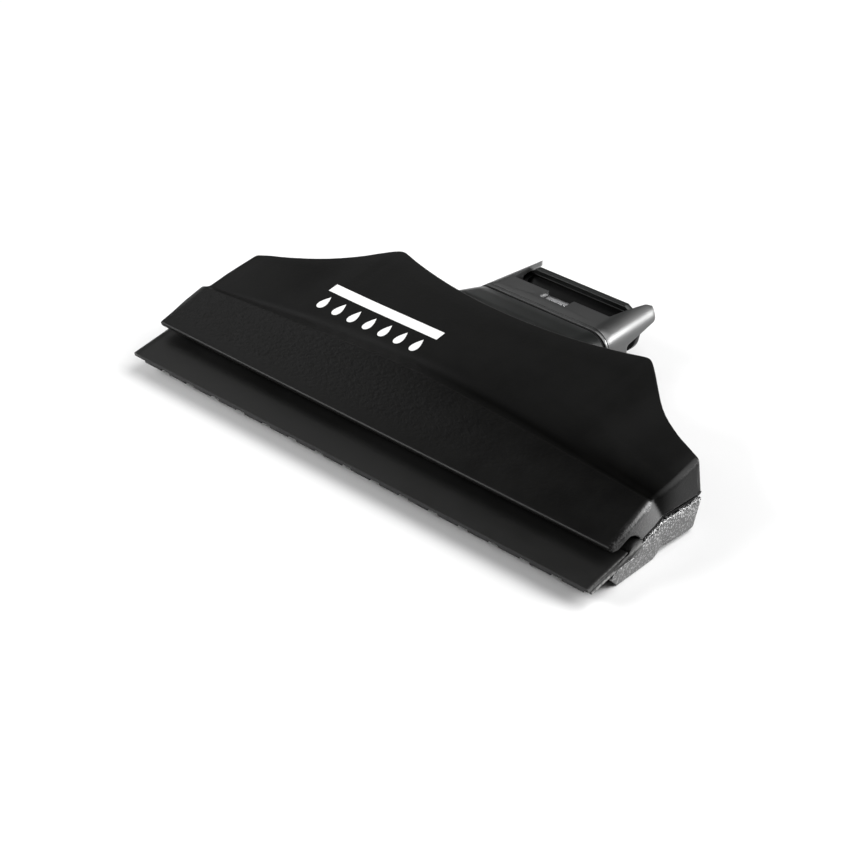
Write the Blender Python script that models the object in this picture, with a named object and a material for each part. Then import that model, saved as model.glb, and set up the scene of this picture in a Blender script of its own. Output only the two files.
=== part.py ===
"""Squeegee suction nozzle: a two-part head with a neck that plugs into a suction machine.

Metres, +Z up. X runs along the rubber blades, Y from the blades back to the neck.
The parts are drawn with y = 0 at the blade tip and z = 0 on the table, and every object
is then shifted so that the origin is under the middle of the whole nozzle.
"""

import math

import bmesh
import bpy

MM = 0.001

# Driving dimensions
BLADE_LENGTH = 170.0 * MM
DEPTH = 109.8 * MM
HEAD_HALF = 84.4 * MM
GAP = 0.3 * MM

# Plan of the head: half widths and distances back from the blade tip
LIP_Y = 10.3 * MM
GROOVE_BACK_Y = 22.1 * MM
SHOULDER = (46.3 * MM, 75.1 * MM)
SHOULDER_SLOPE = -0.8
FLANK = (60.0 * MM, 61.6 * MM)
FLANK_SLOPE = -1.02
WING = (83.0 * MM, 48.6 * MM)
WING_SLOPE = -0.3
REAR_ARC_Y = 68.0 * MM
WING_CORNER_R = 1.4 * MM

# Heights of the head
RIDGE_FRONT = (9.75 * MM, 13.0 * MM)
RIDGE_SLOPE = 0.344
RIDGE_BACK_Y = 31.0 * MM
REAR_TOP = ((-20.0, 24.15), (0.0, 24.1), (20.0, 24.15), (38.0, 24.5), (46.0, 24.75), (50.0, 24.3),
            (54.0, 23.4), (58.0, 22.9), (66.0, 22.5), (74.0, 22.1), (79.0, 21.8), (84.4, 20.9))
DRAFT_FROM_X = 70.0 * MM
SPLIT_FRONT = (22.1 * MM, 8.4 * MM)
SPLIT_BACK = (32.0 * MM, 10.1 * MM)
SPLIT_SLOPE = -0.018
SEAM = 0.9 * MM
WALL = 2.0 * MM
FLOOR = 1.8 * MM

# Blades
BLADE_RISE = 0.163
BLADE_MID_Z = 5.25 * MM
BLADE_SLOT = 0.24 * MM
BLADE_T = 1.13 * MM
BEAD_Y = 19.0 * MM
BEAD_R = 2.9 * MM
PAD_PITCH = 10.5 * MM
PAD_WIDTH = 7.3 * MM
PAD_COUNT = 16
PAD_T = 1.0 * MM

# Neck: the outline's half width and height along y
NECK_FRONT_Y = 62.0 * MM
SLEEVE_END_Y = 82.1 * MM
COLLAR_Y = 83.2 * MM
COLLAR_END_Y = 93.1 * MM
SPIGOT_END_Y = 86.5 * MM
NECK_BOTTOM = 2.4 * MM
NECK_WALL = 1.3 * MM
EAR_FRONT_X = 18.0 * MM
EAR_TIP_X = 19.95 * MM
NOTCH_HALF = 4.7 * MM
NOTCH_Y = 88.6 * MM

# Air duct through the neck
DUCT_HALF = 17.2 * MM
DUCT_TOP = 15.3 * MM
DUCT_BOTTOM = 6.0 * MM
DUCT_WALL = 1.3 * MM
DUCT_FRONT_Y = 58.2 * MM
RIM_Y = (101.6 * MM, 104.0 * MM)
RIM_HALF = 22.1 * MM
RIM_TOP = 16.7 * MM
RIM_STEP = 1.4 * MM
RIM_BOTTOM = 2.0 * MM
RIM_WAIST_Z = 10.3 * MM
RIM_TAPER = 0.33
CROSSBAR_TOP = 18.2 * MM
CROSSBAR_HALF = 18.3 * MM
PORT_SEAL_T = 0.8 * MM

# Screws: half width and y of each pair, from the underside
SHELL_SCREWS = ((70.0 * MM, 41.0 * MM), (50.5 * MM, 53.0 * MM), (34.0 * MM, 64.0 * MM))
COLLAR_SCREWS = ((13.0 * MM, 84.9 * MM),)
BOSS_R = 2.6 * MM
HEAD_R = 2.0 * MM
HEAD_H = 1.4 * MM
SHANK_R = 1.0 * MM
SOCKET_FLAT = math.cos(math.pi / 6.0)

STATIONS = (0, 9, 18, 26, 34, 41, 45, 47, 50, 54, 58, 63, 69, 76, 80.5, 82.4, 83.5, 84.4)


# Curves that give the head its shape

def blend(a, b, t):
    return a + (b - a) * t


def smooth(edge0, edge1, v):
    t = min(1.0, max(0.0, (v - edge0) / (edge1 - edge0)))
    return t * t * (3.0 - 2.0 * t)


def hermite(p, q, slope_p, slope_q, x):
    """Height at x of the cubic from p to q with the given end slopes."""
    span = q[0] - p[0]
    t = (x - p[0]) / span
    a = (1.0 + 2.0 * t) * (1.0 - t) ** 2
    b = t * (1.0 - t) ** 2
    c = t * t * (3.0 - 2.0 * t)
    d = t * t * (t - 1.0)
    return a * p[1] + b * span * slope_p + c * q[1] + d * span * slope_q


def spline(points, v):
    """Smooth curve through points (a, b), with a rising."""
    last = len(points) - 1
    v = min(max(v, points[0][0]), points[last][0])
    i = max(k for k in range(last) if points[k][0] <= v)
    slopes = []
    for k in (i, i + 1):
        low, high = points[max(k - 1, 0)], points[min(k + 1, last)]
        slopes.append((high[1] - low[1]) / (high[0] - low[0]))
    return hermite(points[i], points[i + 1], slopes[0], slopes[1], v)


def rear_y(x):
    """Back edge of the head: a hollow arc at the neck, then the concave flank to the wing."""
    x = abs(x)
    sx, sy = SHOULDER
    sag = sy - REAR_ARC_Y
    radius = (sx * sx + sag * sag) / (2.0 * sag)
    if x <= sx:
        return REAR_ARC_Y + radius - math.sqrt(radius * radius - x * x)
    if x <= FLANK[0]:
        return hermite(SHOULDER, FLANK, SHOULDER_SLOPE, FLANK_SLOPE, x)
    if x <= WING[0]:
        return hermite(FLANK, WING, FLANK_SLOPE, WING_SLOPE, x)
    over = min(x - WING[0], WING_CORNER_R)
    return WING[1] + WING_SLOPE * over - WING_CORNER_R + math.sqrt(WING_CORNER_R ** 2 - over ** 2)


def ridge_back_y(x):
    """Back edge of the blade ridge, bowed back in the middle."""
    bend = 15.0 * MM
    return RIDGE_BACK_Y - 0.066 * (math.hypot(x, bend) - bend)


def ridge_z(y):
    return RIDGE_FRONT[1] + RIDGE_SLOPE * (y - RIDGE_FRONT[0])


def valley(x):
    """Lowest line of the hollow behind the ridge, as (y, z)."""
    middle = 1.0 - smooth(30.0 * MM, HEAD_HALF, abs(x))
    y = ridge_back_y(x) + blend(2.4 * MM, 6.5 * MM, middle)
    z = ridge_z(ridge_back_y(x)) - blend(0.5 * MM, 1.3 * MM, middle)
    return y, z


def rear_z(x):
    return spline(REAR_TOP, abs(x) / MM) * MM


def body_z(x, y):
    """Top of the head behind the valley."""
    yv, zv = valley(x)
    return blend(zv, rear_z(x), (y - yv) / (rear_y(x) - yv))


def split_z(y):
    if y <= SPLIT_BACK[0]:
        rise = (SPLIT_BACK[1] - SPLIT_FRONT[1]) / (SPLIT_BACK[0] - SPLIT_FRONT[0])
        return SPLIT_FRONT[1] + rise * (y - SPLIT_FRONT[0])
    return SPLIT_BACK[1] + SPLIT_SLOPE * (y - SPLIT_BACK[0])


def bottom_z(x, y):
    """Underside: the front block and the belly stand on the table, the wings clear it."""
    lift = 1.0 * MM * smooth(28.0 * MM, 31.6 * MM, y)
    belly = (1.0 - smooth(38.0 * MM, 56.0 * MM, abs(x))) * smooth(38.0 * MM, 46.0 * MM, y)
    return lift * (1.0 - belly)


def neck_half(y):
    return blend(26.2 * MM, 23.2 * MM, (y - 68.0 * MM) / (DEPTH - 68.0 * MM))


def neck_top(y):
    if y < 69.0 * MM:
        return 22.5 * MM - 0.19 * (69.0 * MM - y)
    if y < SLEEVE_END_Y:
        return blend(22.5 * MM, 19.3 * MM, (y - 69.0 * MM) / (SLEEVE_END_Y - 69.0 * MM))
    return blend(19.3 * MM, 18.0 * MM, (y - SLEEVE_END_Y) / (DEPTH - SLEEVE_END_Y))


# Mesh helpers

def material(name, colour, roughness, metallic=0.0):
    made = bpy.data.materials.new(name)
    made.use_nodes = True
    shader = made.node_tree.nodes["Principled BSDF"]
    shader.inputs["Base Color"].default_value = (*colour, 1.0)
    shader.inputs["Roughness"].default_value = roughness
    shader.inputs["Metallic"].default_value = metallic
    made.diffuse_color = (*colour, 1.0)
    return made


def add_object(name, bm, mat=None, angle=35.0):
    bmesh.ops.recalc_face_normals(bm, faces=bm.faces)
    mesh = bpy.data.meshes.new(name)
    bm.to_mesh(mesh)
    bm.free()
    obj = bpy.data.objects.new(name, mesh)
    bpy.context.scene.collection.objects.link(obj)
    obj.location = (0.0, -DEPTH / 2.0, 0.0)
    if mat:
        mesh.materials.append(mat)
        mesh.shade_smooth()
        mesh.set_sharp_from_angle(angle=math.radians(angle))
    return obj


def side_faces(bm, rings):
    count = len(rings[0])
    for low, high in zip(rings, rings[1:]):
        for i in range(count):
            j = (i + 1) % count
            bm.faces.new((low[i], low[j], high[j], high[i]))


def loft(bm, rings, fan=False):
    """A solid skinned over closed rings; its caps are flat, or fans round a middle point."""
    verts = [[bm.verts.new(p) for p in ring] for ring in rings]
    side_faces(bm, verts)
    if not fan:
        caps = [bm.faces.new(verts[0]), bm.faces.new(verts[-1])]
        bmesh.ops.triangulate(bm, faces=caps, ngon_method="EAR_CLIP")
        return
    count = len(rings[0])
    for ring in (verts[0], verts[-1]):
        middle = bm.verts.new([sum(v.co[k] for v in ring) / count for k in range(3)])
        for i in range(count):
            bm.faces.new((ring[i], ring[(i + 1) % count], middle))


def tube(bm, outer, inner):
    """A hollow solid between outer and inner rings, open at both ends."""
    out = [[bm.verts.new(p) for p in ring] for ring in outer]
    inn = [[bm.verts.new(p) for p in ring] for ring in inner]
    side_faces(bm, out)
    side_faces(bm, inn)
    count = len(out[0])
    for a, b in ((out[0], inn[0]), (out[-1], inn[-1])):
        for i in range(count):
            j = (i + 1) % count
            bm.faces.new((a[i], a[j], b[j], b[i]))


def prism_x(bm, outline, x0, x1):
    loft(bm, [[(x, y, z) for y, z in outline] for x in (x0, x1)])


def prism_z(bm, outline, z0, z1):
    loft(bm, [[(x, y, z) for x, y in outline] for z in (z0, z1)])


def box(bm, low, high):
    prism_z(bm, ((low[0], low[1]), (high[0], low[1]), (high[0], high[1]), (low[0], high[1])),
            low[2], high[2])


def rod(bm, x, y, z0, z1, radius, sides=14):
    turns = [2.0 * math.pi * i / sides for i in range(sides)]
    ring = [(x + radius * math.cos(t), y + radius * math.sin(t)) for t in turns]
    prism_z(bm, ring, z0, z1)


def mirrored(pairs):
    for x, y in pairs:
        yield x, y
        yield -x, y


def boolean(obj, name, bm, operation):
    """Join or cut obj with the bodies in bm."""
    tool = add_object(name, bm)
    tool.hide_render = True
    tool.display_type = "WIRE"
    mod = obj.modifiers.new(name, "BOOLEAN")
    mod.operation = operation
    mod.solver = "EXACT"
    mod.object = tool


def rounded(y, half, bottom, top, r_top, r_bottom, steps=5):
    """Rounded rectangle in the plane at y, from the right side round over the top."""
    corners = ((half - r_top, top - r_top, r_top, 0.0),
               (-(half - r_top), top - r_top, r_top, 90.0),
               (-(half - r_bottom), bottom + r_bottom, r_bottom, 180.0),
               (half - r_bottom, bottom + r_bottom, r_bottom, 270.0))
    ring = []
    for cx, cz, radius, start in corners:
        for i in range(steps + 1):
            turn = math.radians(start + 90.0 * i / steps)
            ring.append((cx + radius * math.cos(turn), y, cz + radius * math.sin(turn)))
    return ring


def neck_ring(y, inset=0.0):
    return rounded(y, neck_half(y) - inset, NECK_BOTTOM + inset, neck_top(y) - inset,
                   6.4 * MM - inset, 5.2 * MM - inset)


# Shells

def end_draft(y, z, x):
    """How far the end face leans in from the split line up to the top edge."""
    on_ridge = y < ridge_back_y(x)
    top = ridge_z(y) if on_ridge else rear_z(x)
    t = min(1.0, max(0.0, (z - split_z(y)) / max(top - split_z(y), MM)))
    return (0.2 if on_ridge else 1.5) * MM * t * t


def upper_profile(x):
    """Cross-section of the top shell's outside at x, from the front lip round to the groove."""
    yb = ridge_back_y(x)
    yv, zv = valley(x)
    yr = rear_y(x)
    zr = rear_z(x)
    body = [(y, body_z(x, y)) for y in (blend(yv, yr, 0.28), blend(yv, yr, 0.6))]
    top = [(yr - 2.4 * MM, body_z(x, yr - 2.4 * MM)),
           (yr - 0.8 * MM, zr - 0.25 * MM), (yr, zr - 1.4 * MM)]
    split = [(y, split_z(y) + SEAM / 2.0) for y in (yr, SPLIT_BACK[0], GROOVE_BACK_Y)]
    front = [(LIP_Y, 11.9 * MM), (9.85 * MM, 12.3 * MM), (9.85 * MM, 13.0 * MM),
             (10.6 * MM, ridge_z(10.6 * MM))]
    groove = [(21.7 * MM, 10.0 * MM), (20.0 * MM, 11.3 * MM), (18.0 * MM, 12.2 * MM),
              (14.0 * MM, 11.9 * MM)]
    return front + [(yb, ridge_z(yb)), (yv, zv)] + body + top + split + groove


def lower_profile(x):
    """Cross-section of the bottom shell's outside at x, from the front lip round to the split."""
    yr = rear_y(x)
    lean = 2.6 * MM
    under = [(y, bottom_z(x, y)) for y in (28.0 * MM, 32.0 * MM, 39.0 * MM)]
    yk = yr - lean - 0.9 * MM
    under.append((blend(39.0 * MM, yk, 0.5), bottom_z(x, blend(39.0 * MM, yk, 0.5))))
    under += [(yk, bottom_z(x, yk)), (yr - lean, bottom_z(x, yr) + 0.9 * MM)]
    split = [(y, split_z(y) - SEAM / 2.0) for y in (yr, SPLIT_BACK[0], GROOVE_BACK_Y)]
    groove = [(21.2 * MM, 6.5 * MM), (19.4 * MM, 5.3 * MM), (17.7 * MM, 5.5 * MM),
              (14.2 * MM, 5.2 * MM), (11.0 * MM, 4.2 * MM)]
    front = [(10.2 * MM, 3.5 * MM), (12.9 * MM, 0.4 * MM), (13.7 * MM, 0.0)]
    return front + under + split + groove


def stations(limit):
    xs = [s * MM for s in STATIONS if s * MM < limit - 0.2 * MM] + [limit]
    return [-x for x in xs[:0:-1]] + xs


def skin(profile, limit, draft):
    rings = []
    for x in stations(limit):
        ring = []
        for y, z in profile(x):
            share = max(0.0, (abs(x) - DRAFT_FROM_X) / (HEAD_HALF - DRAFT_FROM_X))
            ring.append((x - math.copysign(share * draft(y, z, abs(x)), x), y, z))
        rings.append(ring)
    return rings


def lower_draft(y, z, x):
    t = min(1.0, max(0.0, (split_z(y) - z) / split_z(y)))
    return 0.2 * MM * t * t


def upper_hollow(x):
    yr = rear_y(min(abs(x), 80.0 * MM)) - WALL
    yv, zv = valley(x)
    zr = rear_z(x) - WALL
    yb = ridge_back_y(x)
    return [(23.6 * MM, 6.0 * MM), (23.6 * MM, 10.6 * MM), (21.8 * MM, 14.2 * MM),
            (yb - 1.0 * MM, ridge_z(yb - 1.0 * MM) - WALL - 0.5 * MM), (yv, zv - WALL),
            (yr - 1.5 * MM, zr - 0.3 * MM), (yr, zr - 1.5 * MM), (yr, 6.0 * MM)]


def lower_hollow(x):
    yr = rear_y(min(abs(x), 80.0 * MM)) - WALL
    floor = [(y, bottom_z(x, y) + FLOOR) for y in (32.0 * MM, 39.0 * MM, yr - 3.4 * MM)]
    return ([(23.6 * MM, 12.0 * MM), (23.6 * MM, 6.0 * MM), (25.0 * MM, FLOOR)] + floor
            + [(yr, 8.0 * MM), (yr, 12.0 * MM)])


def hollow_rings(profile):
    limit = HEAD_HALF - WALL - 1.4 * MM
    return [[(x, y, z) for y, z in profile(x)] for x in stations(limit)]


def neck_cutter():
    bm = bmesh.new()
    ys = (NECK_FRONT_Y - 2.0 * MM, 69.0 * MM, SLEEVE_END_Y)
    loft(bm, [neck_ring(y, -GAP) for y in ys])
    return bm


def slot_cutter():
    """Opening behind the blades that the air channel's mouth sits in."""
    bm = bmesh.new()
    box(bm, (-78.6 * MM, 21.0 * MM, 6.6 * MM), (78.6 * MM, 25.0 * MM, 10.4 * MM))
    return bm


def upper_shell(mat):
    bm = bmesh.new()
    loft(bm, skin(upper_profile, HEAD_HALF, end_draft))
    shell = add_object("upper_shell", bm, mat, 28.0)
    bm = bmesh.new()
    loft(bm, hollow_rings(upper_hollow), fan=True)
    boolean(shell, "cut_upper_hollow", bm, "DIFFERENCE")
    boolean(shell, "cut_upper_slot", slot_cutter(), "DIFFERENCE")
    bm = bmesh.new()
    box(bm, (-81.5 * MM, 14.3 * MM, 9.35 * MM), (81.5 * MM, 15.9 * MM, 13.2 * MM))
    for x, y in mirrored(SHELL_SCREWS):
        rod(bm, x, y, split_z(y) + SEAM, body_z(x, y) - 1.2 * MM, BOSS_R)
    boolean(shell, "join_upper_details", bm, "UNION")
    bm = bmesh.new()
    for x, y in mirrored(SHELL_SCREWS):
        rod(bm, x, y, 0.0, 14.6 * MM, SHANK_R + GAP / 2.0)
    boolean(shell, "cut_pilot_holes", bm, "DIFFERENCE")
    boolean(shell, "cut_upper_neck", neck_cutter(), "DIFFERENCE")


def lower_shell(mat):
    bm = bmesh.new()
    loft(bm, skin(lower_profile, HEAD_HALF, lower_draft))
    shell = add_object("lower_shell", bm, mat, 28.0)
    bm = bmesh.new()
    loft(bm, hollow_rings(lower_hollow), fan=True)
    boolean(shell, "cut_lower_hollow", bm, "DIFFERENCE")
    boolean(shell, "cut_lower_slot", slot_cutter(), "DIFFERENCE")
    bm = bmesh.new()
    box(bm, (-81.5 * MM, 14.3 * MM, 4.0 * MM), (81.5 * MM, 15.9 * MM, 6.1 * MM))
    for x, y in mirrored(SHELL_SCREWS):
        rod(bm, x, y, 1.4 * MM, split_z(y) - SEAM, BOSS_R)
    boolean(shell, "join_lower_details", bm, "UNION")
    bm = bmesh.new()
    for x, y in mirrored(SHELL_SCREWS):
        rod(bm, x, y, -1.0 * MM, 1.6 * MM + HEAD_H, HEAD_R + GAP)
    boolean(shell, "cut_screw_wells", bm, "DIFFERENCE")
    bm = bmesh.new()
    for x, y in mirrored(SHELL_SCREWS):
        rod(bm, x, y, 0.5 * MM, 12.0 * MM, SHANK_R + GAP)
    boolean(shell, "cut_screw_holes", bm, "DIFFERENCE")
    boolean(shell, "cut_lower_neck", neck_cutter(), "DIFFERENCE")


def shell_seals(mat):
    """Thin rubber strips in the seam, one on each side of the neck."""
    inset = 0.5 * MM
    width = 1.0 * MM
    for side, name in ((1.0, "seam_seal_right"), (-1.0, "seam_seal_left")):
        path = [(HEAD_HALF - inset, y * MM) for y in (24.0, 32.0, 44.5)]
        path += [(x * MM, rear_y(x * MM) - inset) for x in (82.0, 76, 69, 63, 58, 54, 50)]
        path += [(x * MM, rear_y(x * MM) - inset) for x in (45.8, 41, 34, 28.5)]
        bm = bmesh.new()
        rings = []
        for i, (x, y) in enumerate(path):
            ax, ay = path[max(i - 1, 0)]
            bx, by = path[min(i + 1, len(path) - 1)]
            length = math.hypot(bx - ax, by - ay)
            nx, ny = -(by - ay) / length, (bx - ax) / length
            ring = []
            for off, dz in ((0.0, -1), (0.0, 1), (width, 1), (width, -1)):
                px, py = x + nx * off, y + ny * off
                ring.append((side * px, py, split_z(y) + dz * 0.2 * MM))
            rings.append(ring)
        loft(bm, rings)
        add_object(name, bm, mat)


# Blades

def blade_mid(y):
    return BLADE_MID_Z + BLADE_RISE * y


def bead(side, steps=7):
    """Half-round bead above (+1) or below (-1) the slot between the blades, front to back."""
    height = (2.1 if side > 0 else 1.9) * MM
    points = []
    for i in range(steps + 1):
        turn = math.pi * (1.0 - i / steps)
        y = BEAD_Y + BEAD_R * math.cos(turn)
        lift = max(height * math.sin(turn) ** 0.8, BLADE_T if i == 0 else 0.25 * MM)
        points.append((y, blade_mid(y) + side * (BLADE_SLOT / 2.0 + lift)))
    return points


def blade_outline(side, pad):
    """Blade section from the tip back along the slot and forward over the bead."""
    lean = 0.2 * MM if side > 0 else 0.5 * MM
    tip = 0.0 if side > 0 else 0.6 * MM
    slot = [(tip + lean, blade_mid(tip) + side * BLADE_SLOT / 2.0),
            (BEAD_Y + BEAD_R, blade_mid(BEAD_Y + BEAD_R) + side * BLADE_SLOT / 2.0)]
    face = [(y, blade_mid(y) + side * (BLADE_SLOT / 2.0 + BLADE_T + extra))
            for y, extra in ((6.0 * MM, 0.0), (5.4 * MM, pad), (1.8 * MM, pad), (tip + 0.9 * MM, 0.0))]
    return slot + bead(side)[::-1] + face


def upper_blade(mat):
    bm = bmesh.new()
    prism_x(bm, blade_outline(1.0, 0.0)[:-4] + [(0.0, blade_mid(0.0) + BLADE_SLOT / 2.0 + BLADE_T)],
            -BLADE_LENGTH / 2.0, BLADE_LENGTH / 2.0)
    add_object("upper_blade", bm, mat)


def lower_blade(mat):
    """The lower blade carries a row of spacer pads under its front edge."""
    low = blade_outline(-1.0, 0.02 * MM)
    high = blade_outline(-1.0, PAD_T)
    ramp = 0.15 * MM
    first = -(PAD_COUNT - 1) / 2.0 * PAD_PITCH
    rings = [[(-BLADE_LENGTH / 2.0, y, z) for y, z in low]]
    for i in range(PAD_COUNT):
        centre = first + i * PAD_PITCH
        for side, outline in ((-1, low), (-1, high), (1, high), (1, low)):
            edge = PAD_WIDTH / 2.0 - (ramp if outline is high else 0.0)
            rings.append([(centre + side * edge, y, z) for y, z in outline])
    rings.append([(BLADE_LENGTH / 2.0, y, z) for y, z in low])
    bm = bmesh.new()
    loft(bm, rings)
    add_object("lower_blade", bm, mat)


# Inside of the head

def channel_half(y):
    """Half width of the flat funnel from the blade slot to the duct."""
    points = ((22.4, 78.3), (25.2, 78.3), (27.0, 74.0), (33.0, 58.0), (41.0, 40.0), (50.0, 25.0),
              (58.0, 17.2))
    for (y0, w0), (y1, w1) in zip(points, points[1:]):
        if y <= y1 * MM:
            return blend(w0, w1, (y / MM - y0) / (y1 - y0)) * MM
    return DUCT_HALF


def channel_insert(mat):
    wall = 0.9 * MM
    spans = ((22.4, 6.9, 10.1), (25.2, 6.9, 10.1), (27.0, 6.6, 11.0), (33.0, 6.0, 12.0),
             (41.0, 5.0, 13.5), (50.0, 5.4, 14.8), (57.9, 6.0, 15.3))
    outer = []
    inner = []
    for y, low, high in spans:
        half = channel_half(y * MM)
        outer.append(rounded(y * MM, half, low * MM, high * MM, 1.5 * MM, 1.5 * MM, 3))
        inner.append(rounded(y * MM, half - wall, low * MM + wall, high * MM - wall,
                             0.6 * MM, 0.6 * MM, 3))
    bm = bmesh.new()
    tube(bm, outer, inner)
    add_object("channel_insert", bm, mat)


# Neck

def neck_sleeve(mat):
    step = NECK_WALL + GAP
    front = (NECK_FRONT_Y, 69.0 * MM, SLEEVE_END_Y)
    spigot = (SLEEVE_END_Y, SPIGOT_END_Y)
    outer = [neck_ring(y) for y in front] + [neck_ring(y, step) for y in spigot]
    inner = [neck_ring(y, 1.5 * MM) for y in front[:2]]
    inner += [neck_ring(y, step + 1.4 * MM) for y in (80.0 * MM, *spigot)]
    bm = bmesh.new()
    tube(bm, outer, inner)
    sleeve = add_object("neck_sleeve", bm, mat)
    bm = bmesh.new()
    for x, y in mirrored(COLLAR_SCREWS):
        rod(bm, x, y, 0.0, 7.6 * MM, SHANK_R + GAP / 2.0)
    boolean(sleeve, "cut_sleeve_holes", bm, "DIFFERENCE")


def neck_gasket(mat):
    ys = (SLEEVE_END_Y + GAP, COLLAR_Y - GAP)
    bm = bmesh.new()
    tube(bm, [neck_ring(y, 0.55 * MM) for y in ys], [neck_ring(y, NECK_WALL) for y in ys])
    add_object("neck_gasket", bm, mat)


def neck_collar(mat):
    """Ring round the neck whose top corners run on as two ears beside a latch window."""
    ys = (COLLAR_Y, COLLAR_END_Y, 101.0 * MM, DEPTH)
    bm = bmesh.new()
    tube(bm, [neck_ring(y) for y in ys], [neck_ring(y, NECK_WALL) for y in ys])
    collar = add_object("neck_collar", bm, mat)
    end = DEPTH + 1.0 * MM
    bm = bmesh.new()
    prism_z(bm, ((-EAR_FRONT_X, COLLAR_END_Y), (EAR_FRONT_X, COLLAR_END_Y),
                 (EAR_TIP_X, end), (-EAR_TIP_X, end)), -2.0 * MM, 25.0 * MM)
    boolean(collar, "cut_window", bm, "DIFFERENCE")
    bm = bmesh.new()
    prism_x(bm, ((COLLAR_END_Y + 0.6 * MM, -2.0 * MM), (COLLAR_END_Y + 0.6 * MM, 11.2 * MM),
                 (109.2 * MM, 13.2 * MM), (end, 15.0 * MM), (end, -2.0 * MM)),
            -30.0 * MM, 30.0 * MM)
    boolean(collar, "cut_under_ears", bm, "DIFFERENCE")
    bm = bmesh.new()
    box(bm, (-NOTCH_HALF, NOTCH_Y, 15.0 * MM), (NOTCH_HALF, COLLAR_END_Y + 1.0 * MM, 22.0 * MM))
    boolean(collar, "cut_notch", bm, "DIFFERENCE")
    bm = bmesh.new()
    for x, y in mirrored(COLLAR_SCREWS):
        rod(bm, x, y, 0.0, 4.6 * MM, SHANK_R + GAP)
    boolean(collar, "cut_collar_holes", bm, "DIFFERENCE")


def catch_plate(mat):
    """Leaf under the collar's notch that the machine's catch hooks behind, with a thin slot."""
    top = 17.15 * MM
    bm = bmesh.new()
    box(bm, (-6.0 * MM, SPIGOT_END_Y + GAP, top - 0.8 * MM), (6.0 * MM, 93.5 * MM, top))
    plate = add_object("catch_plate", bm, mat)
    bm = bmesh.new()
    box(bm, (-2.85 * MM, 91.0 * MM, 15.0 * MM), (2.85 * MM, 91.4 * MM, 20.0 * MM))
    boolean(plate, "cut_catch_slot", bm, "DIFFERENCE")


def duct_ring(y, inset=0.0):
    """Outline of the duct: straight, then flaring into the rim at its mouth."""
    flare = smooth(91.0 * MM, RIM_Y[0] + 1.5 * MM, y) ** 1.4
    half = blend(DUCT_HALF, RIM_HALF - RIM_STEP, flare)
    top = blend(DUCT_TOP, RIM_TOP - RIM_STEP / 2.0, flare)
    bottom = blend(DUCT_BOTTOM, RIM_BOTTOM + RIM_STEP, flare)
    ring = rounded(y, half - inset, bottom + inset, top - inset,
                   4.7 * MM - inset, blend(3.5 * MM, 4.2 * MM, flare) - inset)
    return tapered(ring, flare)


def tapered(ring, share=1.0):
    """Ring whose sides lean in below the rim's waist."""
    lean = [share * RIM_TAPER * max(0.0, RIM_WAIST_Z - z) for x, y, z in ring]
    return [(x - math.copysign(min(d, abs(x)), x), y, z) for (x, y, z), d in zip(ring, lean)]


def rim_ring(y):
    return tapered(rounded(y, RIM_HALF, RIM_BOTTOM, RIM_TOP, 4.7 * MM, 5.0 * MM))


def flange_ring(y):
    return rounded(y, 24.0 * MM, 4.3 * MM, 19.6 * MM, 4.7 * MM, 3.5 * MM)


def air_duct(mat):
    flange = (64.0 * MM, 66.0 * MM)
    ys = (92.0 * MM, 95.0 * MM, 98.0 * MM, 100.5 * MM, RIM_Y[0])
    outer = [duct_ring(y) for y in (DUCT_FRONT_Y, flange[0])]
    outer += [flange_ring(y) for y in flange]
    outer += [duct_ring(y) for y in (flange[1], *ys)]
    outer += [rim_ring(y) for y in RIM_Y]
    inner = [duct_ring(y, DUCT_WALL) for y in (DUCT_FRONT_Y, *ys, RIM_Y[1])]
    bm = bmesh.new()
    tube(bm, outer, inner)
    duct = add_object("air_duct", bm, mat)
    bm = bmesh.new()
    right = [(CROSSBAR_HALF - inset * MM, CROSSBAR_TOP - drop * MM)
             for inset, drop in ((0.0, 2.2), (0.0, 1.2), (0.7, 0.4), (1.9, 0.0))]
    bar = right + [(-x, z) for x, z in reversed(right)]
    step = 0.1 * MM
    loft(bm, [[(x, y, z) for x, z in bar] for y in (RIM_Y[0] + step, RIM_Y[1] - step)])
    boolean(duct, "join_crossbar", bm, "UNION")


def port_seal(mat):
    """Rubber lip seal inside the duct's mouth."""
    ys = (96.0 * MM, 99.5 * MM)
    bm = bmesh.new()
    outer = [duct_ring(y, DUCT_WALL + GAP) for y in ys]
    inner = [duct_ring(y, DUCT_WALL + GAP + PORT_SEAL_T) for y in ys]
    tube(bm, outer, inner)
    add_object("port_seal", bm, mat)


def screw(name, x, y, z, length, mat):
    """Pan-head screw, head down at z, with a hexagon socket."""
    def ring(dz, radius, flats=False):
        points = []
        for i in range(12):
            turn = math.pi * i / 6.0
            r = radius * (SOCKET_FLAT if flats and i % 2 else 1.0)
            points.append((x + r * math.cos(turn), y + r * math.sin(turn), z + dz))
        return points

    socket_r = 0.9 * MM
    rings = [ring(0.8 * MM, socket_r, True), ring(0.0, socket_r, True), ring(0.0, HEAD_R * 0.8),
             ring(0.25 * MM, HEAD_R), ring(HEAD_H, HEAD_R), ring(HEAD_H, SHANK_R),
             ring(length - 1.0 * MM, SHANK_R), ring(length, SHANK_R * 0.4)]
    bm = bmesh.new()
    loft(bm, rings, fan=True)
    add_object(name, bm, mat)


def screws(mat):
    for i, (x, y) in enumerate(mirrored(SHELL_SCREWS)):
        screw(f"shell_screw_{i + 1}", x, y, 1.4 * MM, 12.0 * MM, mat)
    for i, (x, y) in enumerate(mirrored(COLLAR_SCREWS)):
        screw(f"collar_screw_{i + 1}", x, y, NECK_BOTTOM - HEAD_H - 0.05 * MM, 4.4 * MM, mat)


def clear_scene():
    for obj in list(bpy.data.objects):
        bpy.data.objects.remove(obj, do_unlink=True)


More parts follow.
